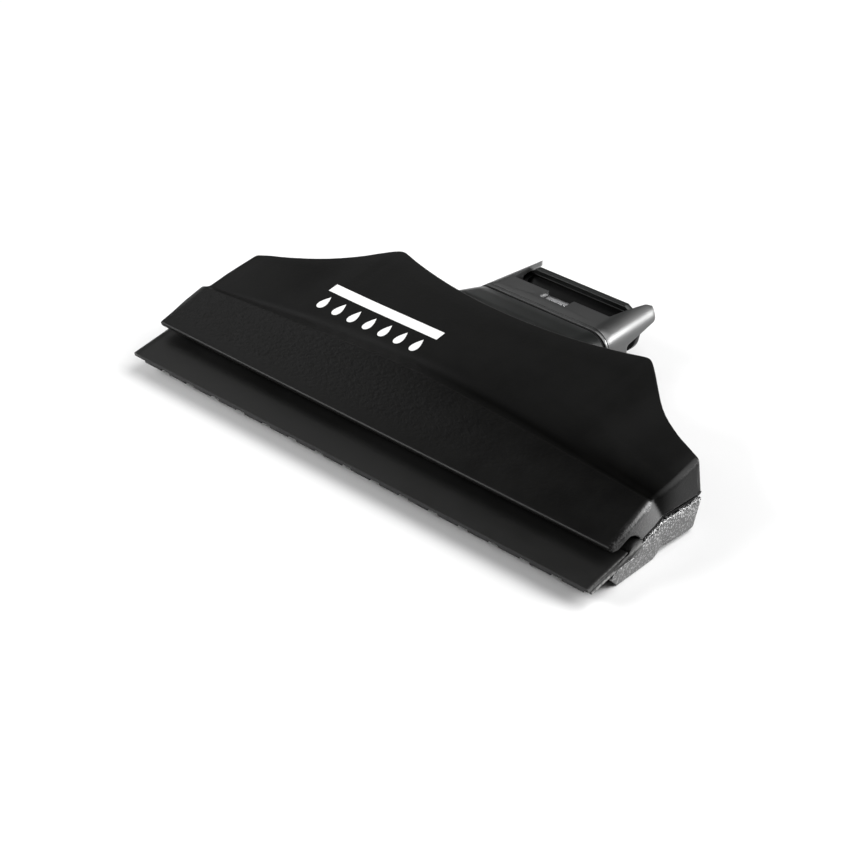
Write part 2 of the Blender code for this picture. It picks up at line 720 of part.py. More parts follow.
def main():
    clear_scene()
    shell = material("shell_plastic", (0.018, 0.018, 0.019), 0.42)
    gloss = material("neck_plastic", (0.02, 0.021, 0.021), 0.22)
    inner = material("channel_plastic", (0.05, 0.05, 0.052), 0.5)
    rubber = material("blade_rubber", (0.03, 0.03, 0.031), 0.6)
    seal = material("seal_rubber", (0.008, 0.008, 0.008), 0.75)
    steel = material("steel", (0.6, 0.6, 0.61), 0.3, 1.0)
    upper_shell(shell)
    lower_shell(shell)
    shell_seals(seal)
    upper_blade(rubber)
    lower_blade(rubber)
    channel_insert(inner)
    neck_sleeve(gloss)
    neck_gasket(seal)
    neck_collar(gloss)
    catch_plate(steel)
    air_duct(gloss)
    port_seal(seal)
    screws(steel)


main()
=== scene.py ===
"""Looks of the squeegee suction nozzle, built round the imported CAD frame.

Metres, +Z up. The outlines are written as in the CAD source, with y = 0 at the blade tip;
every mesh is shifted by the frame's front edge as it is made.
"""

import math

import bmesh
import bpy
from mathutils import Matrix, Vector
from mathutils.geometry import delaunay_2d_cdt


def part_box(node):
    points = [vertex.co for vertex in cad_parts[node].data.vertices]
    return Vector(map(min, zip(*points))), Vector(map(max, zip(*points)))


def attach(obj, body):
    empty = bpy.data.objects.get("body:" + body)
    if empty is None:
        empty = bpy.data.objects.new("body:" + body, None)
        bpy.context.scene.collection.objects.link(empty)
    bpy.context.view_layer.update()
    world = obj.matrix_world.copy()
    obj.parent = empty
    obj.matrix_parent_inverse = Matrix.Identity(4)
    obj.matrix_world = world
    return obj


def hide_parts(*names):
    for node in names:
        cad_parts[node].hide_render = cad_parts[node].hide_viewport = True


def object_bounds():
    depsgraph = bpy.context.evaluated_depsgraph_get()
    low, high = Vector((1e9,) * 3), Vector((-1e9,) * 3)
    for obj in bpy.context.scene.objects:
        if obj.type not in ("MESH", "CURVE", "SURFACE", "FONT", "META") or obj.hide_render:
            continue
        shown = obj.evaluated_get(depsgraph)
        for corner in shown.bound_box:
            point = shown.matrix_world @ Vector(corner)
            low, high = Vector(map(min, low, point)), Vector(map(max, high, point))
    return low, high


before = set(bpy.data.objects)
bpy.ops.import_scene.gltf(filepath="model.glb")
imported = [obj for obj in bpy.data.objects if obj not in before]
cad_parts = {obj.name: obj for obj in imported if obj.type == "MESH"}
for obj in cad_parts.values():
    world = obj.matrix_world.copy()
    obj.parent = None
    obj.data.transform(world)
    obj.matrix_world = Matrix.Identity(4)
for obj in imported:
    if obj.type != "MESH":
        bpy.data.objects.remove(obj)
CAD_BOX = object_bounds()

MM = 0.001
FRONT = CAD_BOX[0][1]
DEPTH = CAD_BOX[1][1] - CAD_BOX[0][1]
BLADE_HALF = CAD_BOX[1][0]
GAP = 0.3 * MM

# Head, in the CAD source's measures; the wing corner, the seam and the edge rounding are the
# visual model's own, because its ends are rounded. Tables of plain numbers are in mm.
HEAD_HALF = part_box("upper_shell")[1][0]
SHOULDER = (46.3 * MM, 75.1 * MM)
SHOULDER_SLOPE = -0.8
FLANK = (60.0 * MM, 61.6 * MM)
FLANK_SLOPE = -1.02
WING = (84.0 * MM, 48.3 * MM)
WING_SLOPE = -0.3
REAR_ARC_Y = 68.0 * MM
WING_CORNER_R = 0.4 * MM
RIDGE_FRONT = (9.75 * MM, 13.0 * MM)
RIDGE_SLOPE = 0.344
RIDGE_BACK_Y = 31.0 * MM
RIDGE_BOW = 0.066
RIDGE_BEND = 15.0 * MM
VALLEY_REACH = (2.4 * MM, 6.5 * MM)
VALLEY_DROP = (0.5 * MM, 1.3 * MM)
REAR_TOP = ((-20.0, 24.15), (0.0, 24.1), (20.0, 24.15), (38.0, 24.5), (46.0, 24.75), (50.0, 24.3),
            (54.0, 23.4), (58.0, 22.9), (66.0, 22.5), (74.0, 22.1), (79.0, 21.8), (84.4, 20.9))
DRAFT_FROM_X = 70.0 * MM
SPLIT_FRONT = (22.1 * MM, 8.4 * MM)
SPLIT_BACK = (32.0 * MM, 10.1 * MM)
SPLIT_SLOPE = -0.018
SEAM = 1.2 * MM
BACK_LEAN = 2.6 * MM
UPPER_EDGE_R = 1.4 * MM
LOWER_EDGE_R = 0.5 * MM

# Grooves for the blades' beads: corners (y, z, radius)
UPPER_GROOVE = ((21.3, 10.4, 0.8), (19.8, 11.7, 1.2), (17.6, 12.5, 1.0), (15.6, 12.0, 1.0),
                (12.6, 11.15, 2.5))
LOWER_GROOVE = ((21.2, 6.5, 0.6), (19.6, 5.35, 0.8), (17.7, 5.75, 0.5), (14.2, 5.2, 0.5),
                (11.0, 4.35, 0.5))

# End faces: the crease between the ridge's end and the body's end, and how far they lean in
CREASE_Y = 32.6 * MM
CREASE_LEAN = 0.57
CREASE_FROM_Z = 9.6 * MM
CREASE_DIP = 1.0 * MM
RIDGE_END_LEAN = 0.25 * MM
BODY_END_LEAN = 1.6 * MM
LOWER_END_LEAN = 0.3 * MM
END_SPACING = 0.7 * MM
EDGE_STEPS = 5
EDGE_SHARES = ((10.5, 0.3), (16.0, 0.6), (28.0, 0.6), (35.0, 1.0))

# Sections along x: even ones, and extra ones at the shoulder and the wing corner
EVEN_STATIONS = 64
CLOSE_STATIONS = (43.6, 44.6, 45.5, 46.3, 47.1, 48.0, 49.0, 75.0, 78.0, 80.2, 81.4, 82.2, 82.9,
                  83.4)

# Seam strips: y along the end, then x along the back edge, and the section, which is
# (mm inward from there, half thicknesses up)
STRIP_YS = (24.0, 26.0, 28.0, 30.0, 31.2, 32.4, 33.6, 35.0, 38.0, 41.0, 43.5, 45.0)
STRIP_XS = (83.4, 82.2, 80.0, 77.0, 74.0, 71.0, 68.0, 65.0, 62.0, 59.0, 56.0, 53.0, 50.0, 48.4,
            47.4, 46.4, 45.4, 44.0, 41.0, 37.0, 33.0, 29.0)
STRIP_SECTION = ((0.1, -1.0), (0.0, -0.6), (0.0, 0.6), (0.1, 1.0), (1.0, 1.0), (1.0, -1.0))
STRIP_HALF_T = 0.21 * MM
STRIP_SUNK = 0.8 * MM

# Blades
BLADE_RISE = 0.163
BLADE_MID_Z = 5.25 * MM
BLADE_SLOT = 0.24 * MM
BLADE_T = 1.13 * MM
BEAD_Y = 19.0 * MM
BEAD_R = 2.9 * MM
PAD_PITCH = 10.5 * MM
PAD_WIDTH = 7.3 * MM
PAD_COUNT = 16
PAD_T = 1.0 * MM
PAD_FIRST_X = -(PAD_COUNT - 1) / 2.0 * PAD_PITCH
PAD_BACK = (6.2 * MM, 5.6 * MM)
PAD_FRONT = (1.75 * MM, 1.5 * MM)
LOWER_LIP_Y = 1.1 * MM
BLADE_MIDWAY_Y = 10.0 * MM

# Neck and duct
NECK_FRONT_Y = 62.0 * MM
SLEEVE_END_Y = 82.1 * MM
COLLAR_Y = 83.2 * MM
COLLAR_END_Y = 93.1 * MM
SPIGOT_END_Y = 86.5 * MM
NECK_HALF = (26.2 * MM, 23.2 * MM)
NECK_KNEE_Y = 69.0 * MM
NECK_TOP = (22.5 * MM, 19.3 * MM, 18.0 * MM)
NECK_TOP_SLOPE = 0.19
NECK_BOTTOM = 2.4 * MM
NECK_WALL = 1.3 * MM
EAR_FRONT_X = 18.0 * MM
EAR_TIP_X = 19.95 * MM
NOTCH_HALF = 4.7 * MM
NOTCH_Y = 88.6 * MM
DUCT_HALF = 17.2 * MM
DUCT_TOP = 15.3 * MM
DUCT_BOTTOM = 6.0 * MM
DUCT_WALL = 1.3 * MM
DUCT_FRONT_Y = 58.2 * MM
RIM_Y = (101.6 * MM, 104.0 * MM)
RIM_HALF = 22.1 * MM
RIM_TOP = 16.7 * MM
RIM_STEP = 1.4 * MM
RIM_BOTTOM = 2.0 * MM
RIM_WAIST_Z = 10.3 * MM
RIM_TAPER = 0.33
CROSSBAR_TOP = 18.2 * MM
CROSSBAR_HALF = 18.3 * MM

SHELL_SCREWS = ((70.0 * MM, 41.0 * MM), (50.5 * MM, 53.0 * MM), (34.0 * MM, 64.0 * MM))
COLLAR_SCREWS = ((13.0 * MM, 84.9 * MM),)
HEAD_R = 2.0 * MM
HEAD_H = 1.4 * MM
SHANK_R = 1.0 * MM

FLOOR_GAP = 0.05 * MM

# Camera: from the front right and above, long lens
CAMERA_AT = (0.32989, -0.38286, 0.31857)
CAMERA_TURN = math.radians(42.263)
CAMERA_TILT = math.radians(33.0)
CAMERA_LENS = 86.95


# Curves that give the head its shape

def blend(a, b, t):
    return a + (b - a) * t


def smooth(edge0, edge1, v):
    t = min(1.0, max(0.0, (v - edge0) / (edge1 - edge0)))
    return t * t * (3.0 - 2.0 * t)


def hermite(p, q, slope_p, slope_q, x):
    """Height at x of the cubic from p to q with the given end slopes."""
    span = q[0] - p[0]
    t = (x - p[0]) / span
    a = (1.0 + 2.0 * t) * (1.0 - t) ** 2
    b = t * (1.0 - t) ** 2
    c = t * t * (3.0 - 2.0 * t)
    d = t * t * (t - 1.0)
    return a * p[1] + b * span * slope_p + c * q[1] + d * span * slope_q


def spline(points, v):
    """Smooth curve through points (a, b), with a rising."""
    last = len(points) - 1
    v = min(max(v, points[0][0]), points[last][0])
    i = max(k for k in range(last) if points[k][0] <= v)
    slopes = []
    for k in (i, i + 1):
        low, high = points[max(k - 1, 0)], points[min(k + 1, last)]
        slopes.append((high[1] - low[1]) / (high[0] - low[0]))
    return hermite(points[i], points[i + 1], slopes[0], slopes[1], v)


def rear_curve(x):
    sx, sy = SHOULDER
    sag = sy - REAR_ARC_Y
    radius = (sx * sx + sag * sag) / (2.0 * sag)
    if x <= sx:
        return REAR_ARC_Y + radius - math.sqrt(radius * radius - x * x)
    if x <= FLANK[0]:
        return hermite(SHOULDER, FLANK, SHOULDER_SLOPE, FLANK_SLOPE, x)
    if x <= WING[0]:
        return hermite(FLANK, WING, FLANK_SLOPE, WING_SLOPE, x)
    over = min(x - WING[0], WING_CORNER_R)
    return WING[1] + WING_SLOPE * over - WING_CORNER_R + math.sqrt(WING_CORNER_R ** 2 - over ** 2)


def rear_y(x):
    """Back edge of the head, with its shoulder rounded off."""
    x = abs(x)
    reach = 1.6 * MM
    weights = (1.0, 2.0, 3.0, 2.0, 1.0)
    if abs(x - SHOULDER[0]) > 3.0 * reach:
        return rear_curve(x)
    total = sum(w * rear_curve(x + (i - 2) * reach / 2.0) for i, w in enumerate(weights))
    return total / sum(weights)


def ridge_back_y(x):
    """Back edge of the blade ridge, bowed back in the middle."""
    return RIDGE_BACK_Y - RIDGE_BOW * (math.hypot(x, RIDGE_BEND) - RIDGE_BEND)


def ridge_z(y):
    return RIDGE_FRONT[1] + RIDGE_SLOPE * (y - RIDGE_FRONT[0])


def valley(x):
    """Lowest line of the hollow behind the ridge, as (y, z)."""
    middle = 1.0 - smooth(30.0 * MM, HEAD_HALF, abs(x))
    y = ridge_back_y(x) + blend(*VALLEY_REACH, middle)
    z = ridge_z(ridge_back_y(x)) - blend(*VALLEY_DROP, middle)
    return y, z


def rear_z(x):
    return spline(REAR_TOP, abs(x) / MM) * MM


def body_z(x, y):
    """Top of the head behind the valley."""
    yv, zv = valley(x)
    return blend(zv, rear_z(x), (y - yv) / (rear_y(x) - yv))


def split_z(y):
    if y <= SPLIT_BACK[0]:
        rise = (SPLIT_BACK[1] - SPLIT_FRONT[1]) / (SPLIT_BACK[0] - SPLIT_FRONT[0])
        return SPLIT_FRONT[1] + rise * (y - SPLIT_FRONT[0])
    return SPLIT_BACK[1] + SPLIT_SLOPE * (y - SPLIT_BACK[0])


def bottom_z(x, y):
    """Underside: the front block and the belly stand on the table, the wings clear it."""
    lift = 1.0 * MM * smooth(28.0 * MM, 31.6 * MM, y)
    belly = (1.0 - smooth(38.0 * MM, 56.0 * MM, abs(x))) * smooth(38.0 * MM, 46.0 * MM, y)
    return lift * (1.0 - belly)


def neck_half(y):
    return blend(*NECK_HALF, (y - REAR_ARC_Y) / (DEPTH - REAR_ARC_Y))


def neck_top(y):
    if y < NECK_KNEE_Y:
        return NECK_TOP[0] - NECK_TOP_SLOPE * (NECK_KNEE_Y - y)
    if y < SLEEVE_END_Y:
        return blend(*NECK_TOP[:2], (y - NECK_KNEE_Y) / (SLEEVE_END_Y - NECK_KNEE_Y))
    return blend(*NECK_TOP[1:], (y - SLEEVE_END_Y) / (DEPTH - SLEEVE_END_Y))


# Mesh helpers

def finish_mesh(name, bm, mat, angle=40.0):
    """Object from bm, given with y = 0 at the blade tip."""
    bmesh.ops.translate(bm, verts=bm.verts, vec=(0.0, FRONT, 0.0))
    bmesh.ops.recalc_face_normals(bm, faces=bm.faces)
    mesh = bpy.data.meshes.new(name)
    bm.to_mesh(mesh)
    bm.free()
    obj = bpy.data.objects.new(name, mesh)
    bpy.context.scene.collection.objects.link(obj)
    if mat:
        mesh.materials.append(mat)
    mesh.shade_smooth()
    mesh.set_sharp_from_angle(angle=math.radians(angle))
    return obj


def piece(obj, body, slot, *nodes):
    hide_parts(*nodes)
    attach(obj, body)


def skin_rings(bm, rings, closed=False):
    """Quads between rings of equal count; closed joins the last ring to the first."""
    verts = [[bm.verts.new(p) for p in ring] for ring in rings]
    pairs = list(zip(verts, verts[1:]))
    if closed:
        pairs.append((verts[-1], verts[0]))
    for low, high in pairs:
        count = len(low)
        for i in range(count):
            j = (i + 1) % count
            bm.faces.new((low[i], low[j], high[j], high[i]))
    return verts


def cap(bm, ring):
    """Fan over a ring round its middle point."""
    middle = bm.verts.new(sum((v.co for v in ring), Vector()) / len(ring))
    for i, vert in enumerate(ring):
        bm.faces.new((vert, ring[(i + 1) % len(ring)], middle))


def capped_rings(bm, rings):
    """Closed body through the rings, with a fan over each end."""
    verts = skin_rings(bm, rings)
    cap(bm, verts[0])
    cap(bm, verts[-1])


def prism(bm, outline, low, high, axis):
    """Outline extruded along x (outline in y, z) or along z (outline in x, y)."""
    rings = []
    for end in (low, high):
        if axis == "x":
            rings.append([(end, a, b) for a, b in outline])
        else:
            rings.append([(a, b, end) for a, b in outline])
    for ring in skin_rings(bm, rings):
        bm.faces.new(ring)


def cut(obj, bm):
    """Cut the bodies in bm out of obj."""
    tool = finish_mesh("cutter", bm, None)
    mod = obj.modifiers.new("cut", "BOOLEAN")
    mod.operation = "DIFFERENCE"
    mod.solver = "EXACT"
    mod.object = tool
    apply_modifiers(obj)
    bpy.data.objects.remove(tool, do_unlink=True)


def apply_modifiers(obj):
    bpy.context.view_layer.update()
    depsgraph = bpy.context.evaluated_depsgraph_get()
    mesh = bpy.data.meshes.new_from_object(obj.evaluated_get(depsgraph))
    obj.modifiers.clear()
    obj.data = mesh


def soften(obj, width, segments=3):
    """Round the sharp edges that cuts leave."""
    mod = obj.modifiers.new("soften", "BEVEL")
    mod.width = width
    mod.segments = segments
    mod.limit_method = "ANGLE"
    mod.angle_limit = math.radians(38.0)
    apply_modifiers(obj)
    obj.data.shade_smooth()
    obj.data.set_sharp_from_angle(angle=math.radians(50.0))


def fillet(corners, steps=6):
    """Closed outline whose corners, given as (a, b, radius), are rounded."""
    points = []
    for i, (a, b, radius) in enumerate(corners):
        here = Vector((a, b))
        if radius <= 0.0:
            points.append((a, b))
            continue
        before = Vector(corners[i - 1][:2]) - here
        after = Vector(corners[(i + 1) % len(corners)][:2]) - here
        angle = before.angle(after)
        reach = radius / math.tan(angle / 2.0)
        start = here + before.normalized() * min(reach, 0.48 * before.length)
        end = here + after.normalized() * min(reach, 0.48 * after.length)
        for k in range(steps + 1):
            t = k / steps
            p = start * (1.0 - t) ** 2 + here * 2.0 * t * (1.0 - t) + end * t * t
            points.append((p.x, p.y))
    return points


def inset_outline(points, amount):
    """Points of a closed outline moved inward by amount, a number or a function of the first
    coordinate; the outline may run either way."""
    area = sum(p[0] * q[1] - q[0] * p[1] for p, q in zip(points, points[1:] + points[:1]))
    sign = 1.0 if area > 0.0 else -1.0
    moved = []
    for i, p in enumerate(points):
        here = Vector(p)
        before = here - Vector(points[i - 1])
        after = Vector(points[(i + 1) % len(points)]) - here
        along = before.normalized() + after.normalized()
        if along.length < 1e-9:
            moved.append(p)
            continue
        along.normalize()
        normal = Vector((-along.y, along.x)) * sign
        q = here + normal * (amount(p[0]) if callable(amount) else amount)
        moved.append((q.x, q.y))
    return moved


def end_cap(bm, ring, x_at, spacing):
    """Fill a closed ring of verts with a fine mesh whose x comes from x_at(y, z)."""
    outline = [Vector((v.co.y, v.co.z)) for v in ring]
    count = len(outline)
    low = (min(p.x for p in outline), min(p.y for p in outline))
    high = (max(p.x for p in outline), max(p.y for p in outline))
    points = list(outline)
    y = low[0] + spacing / 2.0
    row = 0
    while y < high[0]:
        z = low[1] + spacing * (0.25 + 0.5 * (row % 2))
        while z < high[1]:
            p = Vector((y, z))
            near = min((p - q).length for q in outline)
            if near > 0.55 * spacing:
                points.append(p)
            z += spacing
        y += spacing * 0.87
        row += 1
    edges = [(i, (i + 1) % count) for i in range(count)]
    out = delaunay_2d_cdt(points, edges, [list(range(count))], 1, 1e-7)
    flat, faces, origins = out[0], out[2], out[3]
    made = []
    for i, p in enumerate(flat):
        source = [k for k in origins[i] if k < count]
        made.append(ring[source[0]] if source else bm.verts.new((x_at(p.x, p.y), p.x, p.y)))
    for face in faces:
        if len({made[i] for i in face}) == len(face):
            try:
                bm.faces.new([made[i] for i in face])
            except ValueError:
                pass


# Shells

def arris_y(z):
    """Where the end face has its upright crease, between the ridge's end and the body's end."""
    return CREASE_Y - CREASE_LEAN * max(0.0, z - CREASE_FROM_Z)


def facet(y, z):
    """How far the end face dips at its crease."""
    y -= arris_y(z)
    if y < 0.0:
        return CREASE_DIP * smooth(-5.5 * MM, 1.5 * MM, y) ** 1.3
    return CREASE_DIP * (1.0 - smooth(-4.0 * MM, 11.0 * MM, y))


def upper_end(y, z):
    """How far the top shell's end face leans in from the split line up to the top edge."""
    ridge = ridge_z(y) - split_z(y)
    body = REAR_TOP[-1][1] * MM - split_z(y)
    at = smooth(-1.0 * MM, 1.0 * MM, y - arris_y(z))
    t = min(1.0, max(0.0, (z - split_z(y)) / max(blend(ridge, body, at), MM)))
    return blend(RIDGE_END_LEAN, BODY_END_LEAN, at) * t * t + facet(y, z)


def lower_end(y, z):
    t = min(1.0, max(0.0, (split_z(y) - z) / split_z(y)))
    return LOWER_END_LEAN * t * t + facet(y, z)


def in_mm(rows):
    return [tuple(v * MM for v in row) for row in rows]


def split_corners(yr, side):
    """Corners along the split line, back to front, of the upper (+1) or lower (-1) shell."""
    half = side * SEAM / 2.0
    return [(yr, split_z(yr) + half, 0.3 * MM), (SPLIT_BACK[0], SPLIT_BACK[1] + half, 0.0),
            (SPLIT_FRONT[0], SPLIT_FRONT[1] + half, 0.3 * MM)]


def upper_corners(x):
    """Corners (y, z, radius) of the top shell at x, from the front lip round to the groove."""
    yb = ridge_back_y(x)
    yv, zv = valley(x)
    yr = rear_y(x)
    zr = rear_z(x)
    deep = (yv - yb) / VALLEY_REACH[1]
    top = [(blend(RIDGE_FRONT[0], yb, t), ridge_z(blend(RIDGE_FRONT[0], yb, t)), 0.0)
           for t in (0.3, 0.6)]
    body = [(blend(yv, yr, t), body_z(x, blend(yv, yr, t)), 0.0) for t in (0.35, 0.6, 0.8)]
    return ([(10.25 * MM, 11.75 * MM, 0.5 * MM), (*RIDGE_FRONT, 1.0 * MM)] + top
            + [(yb, ridge_z(yb), blend(0.7, 1.3, deep) * MM), (yv, zv, blend(3.0, 16.0, deep) * MM)]
            + body + [(yr, zr, 1.1 * MM)] + split_corners(yr, 1.0) + in_mm(UPPER_GROOVE))


def lower_corners(x):
    """Corners (y, z, radius) of the bottom shell at x."""
    yr = rear_y(x)
    heel = yr - BACK_LEAN
    ys = [28.0 * MM, 29.8 * MM, 31.8 * MM, 38.0 * MM]
    ys += [blend(ys[-1], heel, t) for t in (0.3, 0.6)]
    under = [(y, bottom_z(x, y), 0.0) for y in ys] + [(heel, bottom_z(x, heel), 1.2 * MM)]
    return ([(10.2 * MM, 3.4 * MM, 0.7 * MM), (13.2 * MM, 0.0, 0.9 * MM)] + under
            + split_corners(yr, -1.0) + in_mm(LOWER_GROOVE))


def edge_share(y):
    """Share of the edge rounding at depth y: little at the lip, all of it on the body."""
    for (y0, s0), (y1, s1) in zip(EDGE_SHARES, EDGE_SHARES[1:]):
        if y < y1 * MM:
            return blend(s0, s1, smooth(y0 * MM, y1 * MM, y))
    return EDGE_SHARES[-1][1]


def shell_body(name, corners, end, edge, mat):
    """Closed shell form: rings of the section along x, rounded ends and fine end caps."""
    inner = HEAD_HALF - edge
    xs = [(-1.0 + 2.0 * i / EVEN_STATIONS) * inner for i in range(EVEN_STATIONS + 1)]
    xs += [side * x * MM for x in CLOSE_STATIONS for side in (1.0, -1.0)]
    xs = sorted(set(round(x, 6) for x in xs if abs(x) <= inner))

    def placed(x, points):
        share = max(0.0, (abs(x) - DRAFT_FROM_X) / (HEAD_HALF - DRAFT_FROM_X))
        return [(x - math.copysign(share * end(y, z), x), y, z) for y, z in points]

    rings = [placed(x, fillet(corners(x))) for x in xs]
    for k in range(1, EDGE_STEPS + 1):
        turn = math.pi / 2.0 * k / EDGE_STEPS
        x = inner + edge * math.sin(turn)
        amount = edge * (1.0 - math.cos(turn))
        shape = inset_outline(fillet(corners(x)), lambda y, a=amount: a * edge_share(y))
        rings.append(placed(x, shape))
        rings.insert(0, placed(-x, shape))
    bm = bmesh.new()
    verts = skin_rings(bm, rings)
    for ring, side in ((verts[0], -1.0), (verts[-1], 1.0)):
        end_cap(bm, ring, lambda y, z, s=side: s * (HEAD_HALF - end(y, z)), END_SPACING)
    return finish_mesh(name, bm, mat, 45.0)


def rounded(y, half, bottom, top, r_top, r_bottom, steps=9):
    """Rounded rectangle in the plane at y, from the right side round over the top."""
    corners = ((half - r_top, top - r_top, r_top, 0.0),
               (-(half - r_top), top - r_top, r_top, 90.0),
               (-(half - r_bottom), bottom + r_bottom, r_bottom, 180.0),
               (half - r_bottom, bottom + r_bottom, r_bottom, 270.0))
    ring = []
    for cx, cz, radius, start in corners:
        for i in range(steps + 1):
            turn = math.radians(start + 90.0 * i / steps)
            ring.append((cx + radius * math.cos(turn), y, cz + radius * math.sin(turn)))
    return ring


def neck_ring(y, inset=0.0):
    return rounded(y, neck_half(y) - inset, NECK_BOTTOM + inset, neck_top(y) - inset,
                   6.4 * MM - inset, 5.2 * MM - inset)


def channel_half(y):
    """Half width of the flat funnel from the blade slot to the duct."""
    points = ((22.4, 78.3), (25.2, 78.3), (27.0, 74.0), (33.0, 58.0), (41.0, 40.0), (50.0, 25.0),
              (58.0, 17.2))
    for (y0, w0), (y1, w1) in zip(points, points[1:]):
        if y <= y1 * MM:
            return blend(w0, w1, (y / MM - y0) / (y1 - y0)) * MM
    return DUCT_HALF


CHANNEL_SPANS = ((22.4, 6.9, 10.1), (25.2, 6.9, 10.1), (27.0, 6.6, 11.0), (33.0, 6.0, 12.0),
                 (41.0, 5.0, 13.5), (50.0, 5.4, 14.8), (57.9, 6.0, 15.3))


def channel_ring(y, low, high, inset):
    half = channel_half(y * MM) - inset
    radius = max(1.5 * MM - inset, 0.5 * MM)
    return rounded(y * MM, half, low * MM + inset, high * MM - inset, radius, radius, 4)


def rod(bm, x, y, z0, z1, radius, sides=32):
    turns = [2.0 * math.pi * i / sides for i in range(sides)]
    outline = [(x + radius * math.cos(t), y + radius * math.sin(t)) for t in turns]
    prism(bm, outline, z0, z1, "z")


def mirrored(pairs):
    for x, y in pairs:
        yield x, y
        yield -x, y


def cut_neck_space(shell):
    """Room for the neck and for the funnel in front of it."""
    bm = bmesh.new()
    ys = (NECK_FRONT_Y - 2.0 * MM, NECK_KNEE_Y, SLEEVE_END_Y)
    capped_rings(bm, [neck_ring(y, -0.15 * MM) for y in ys])
    cut(shell, bm)
    bm = bmesh.new()
    spans = ((21.0, 6.9, 10.1),) + CHANNEL_SPANS + ((61.0, 6.0, 15.3),)
    capped_rings(bm, [channel_ring(*span, -0.2 * MM) for span in spans])
    cut(shell, bm)


def upper_shell(mat):
    shell = shell_body("shell_top", upper_corners, upper_end, UPPER_EDGE_R, mat)
    cut_neck_space(shell)
    piece(shell, "head", "shell_plastic", "upper_shell")


def lower_shell(mat):
    shell = shell_body("shell_bottom", lower_corners, lower_end, LOWER_EDGE_R, mat)
    cut_neck_space(shell)
    bm = bmesh.new()
    for x, y in mirrored(SHELL_SCREWS):
        rod(bm, x, y, -1.0 * MM, 1.6 * MM + HEAD_H, HEAD_R + GAP)
    cut(shell, bm)
    piece(shell, "head", "shell_plastic", "lower_shell")


def seam_seals(mat):
    """Rubber strips in the seam, one on each side of the neck."""
    for side, name in ((1.0, "right"), (-1.0, "left")):
        path = [(HEAD_HALF - STRIP_SUNK - lower_end(y * MM, split_z(y * MM)), y * MM)
                for y in STRIP_YS]
        path += [(x * MM, rear_y(x * MM) - STRIP_SUNK / 2.0) for x in STRIP_XS]
        rings = []
        for i, (x, y) in enumerate(path):
            ax, ay = path[max(i - 1, 0)]
            bx, by = path[min(i + 1, len(path) - 1)]
            length = math.hypot(bx - ax, by - ay)
            nx, ny = -(by - ay) / length, (bx - ax) / length
            ring = []
            for off, dz in STRIP_SECTION:
                px, py = x + nx * off * MM, y + ny * off * MM
                ring.append((side * px, py, split_z(y) + dz * STRIP_HALF_T))
            rings.append(ring)
        bm = bmesh.new()
        capped_rings(bm, rings)
        seal = finish_mesh("seam_strip_" + name, bm, mat)
        piece(seal, "head", "seal_rubber", "seam_seal_" + name)


# Blades

def blade_mid(y):
    return BLADE_MID_Z + BLADE_RISE * y


def bead(side, steps=14):
    """Half-round bead above (+1) or below (-1) the slot between the blades, back to front."""
    height = (2.1 if side > 0 else 1.9) * MM
    points = []
    for i in range(steps + 1):
        turn = math.pi * i / steps
        y = BEAD_Y + BEAD_R * math.cos(turn)
        lift = max(height * math.sin(turn) ** 0.8, BLADE_T if i == steps else 0.25 * MM)
        points.append((y, blade_mid(y) + side * (BLADE_SLOT / 2.0 + lift), 0.0))
    return points


def upper_blade(mat):
    half_slot = BLADE_SLOT / 2.0
    corners = [(0.2 * MM, blade_mid(0.0) + half_slot, 0.12 * MM),
               (BLADE_MIDWAY_Y, blade_mid(BLADE_MIDWAY_Y) + half_slot, 0.0),
               (BEAD_Y + BEAD_R, blade_mid(BEAD_Y + BEAD_R) + half_slot, 0.0)]
    corners += bead(1.0)
    corners += [(BLADE_MIDWAY_Y, blade_mid(BLADE_MIDWAY_Y) + half_slot + BLADE_T, 0.0),
                (0.0, blade_mid(0.0) + half_slot + BLADE_T, 0.2 * MM)]
    obj = blade_body("squeegee_top", lambda x: corners, mat)
    piece(obj, "upper_blade_body", "blade_rubber", "upper_blade")


def pad_share(x):
    """1 on a spacer pad, 0 between pads, with short ramps."""
    nearest = min(PAD_COUNT - 1, max(0, round((x - PAD_FIRST_X) / PAD_PITCH)))
    off = abs(x - PAD_FIRST_X - nearest * PAD_PITCH)
    return 1.0 - smooth(PAD_WIDTH / 2.0 - 0.22 * MM, PAD_WIDTH / 2.0 + 0.02 * MM, off)


def lower_blade(mat):
    half_slot = BLADE_SLOT / 2.0

    def corners(x):
        raised = PAD_T * pad_share(x)
        base = [(LOWER_LIP_Y, blade_mid(LOWER_LIP_Y) - half_slot, 0.12 * MM),
                (BLADE_MIDWAY_Y, blade_mid(BLADE_MIDWAY_Y) - half_slot, 0.0),
                (BEAD_Y + BEAD_R, blade_mid(BEAD_Y + BEAD_R) - half_slot, 0.0)] + bead(-1.0)
        face = [(y, blade_mid(y) - half_slot - BLADE_T - lift, r)
                for y, lift, r in (
                    (PAD_BACK[0], 0.0, 0.1 * MM), (PAD_BACK[1], raised, 0.25 * MM),
                    (PAD_FRONT[0], raised, 0.25 * MM), (PAD_FRONT[1], 0.0, 0.1 * MM))]
        return base + face

    obj = blade_body("squeegee_bottom", corners, mat)
    piece(obj, "lower_blade_body", "blade_rubber", "lower_blade")


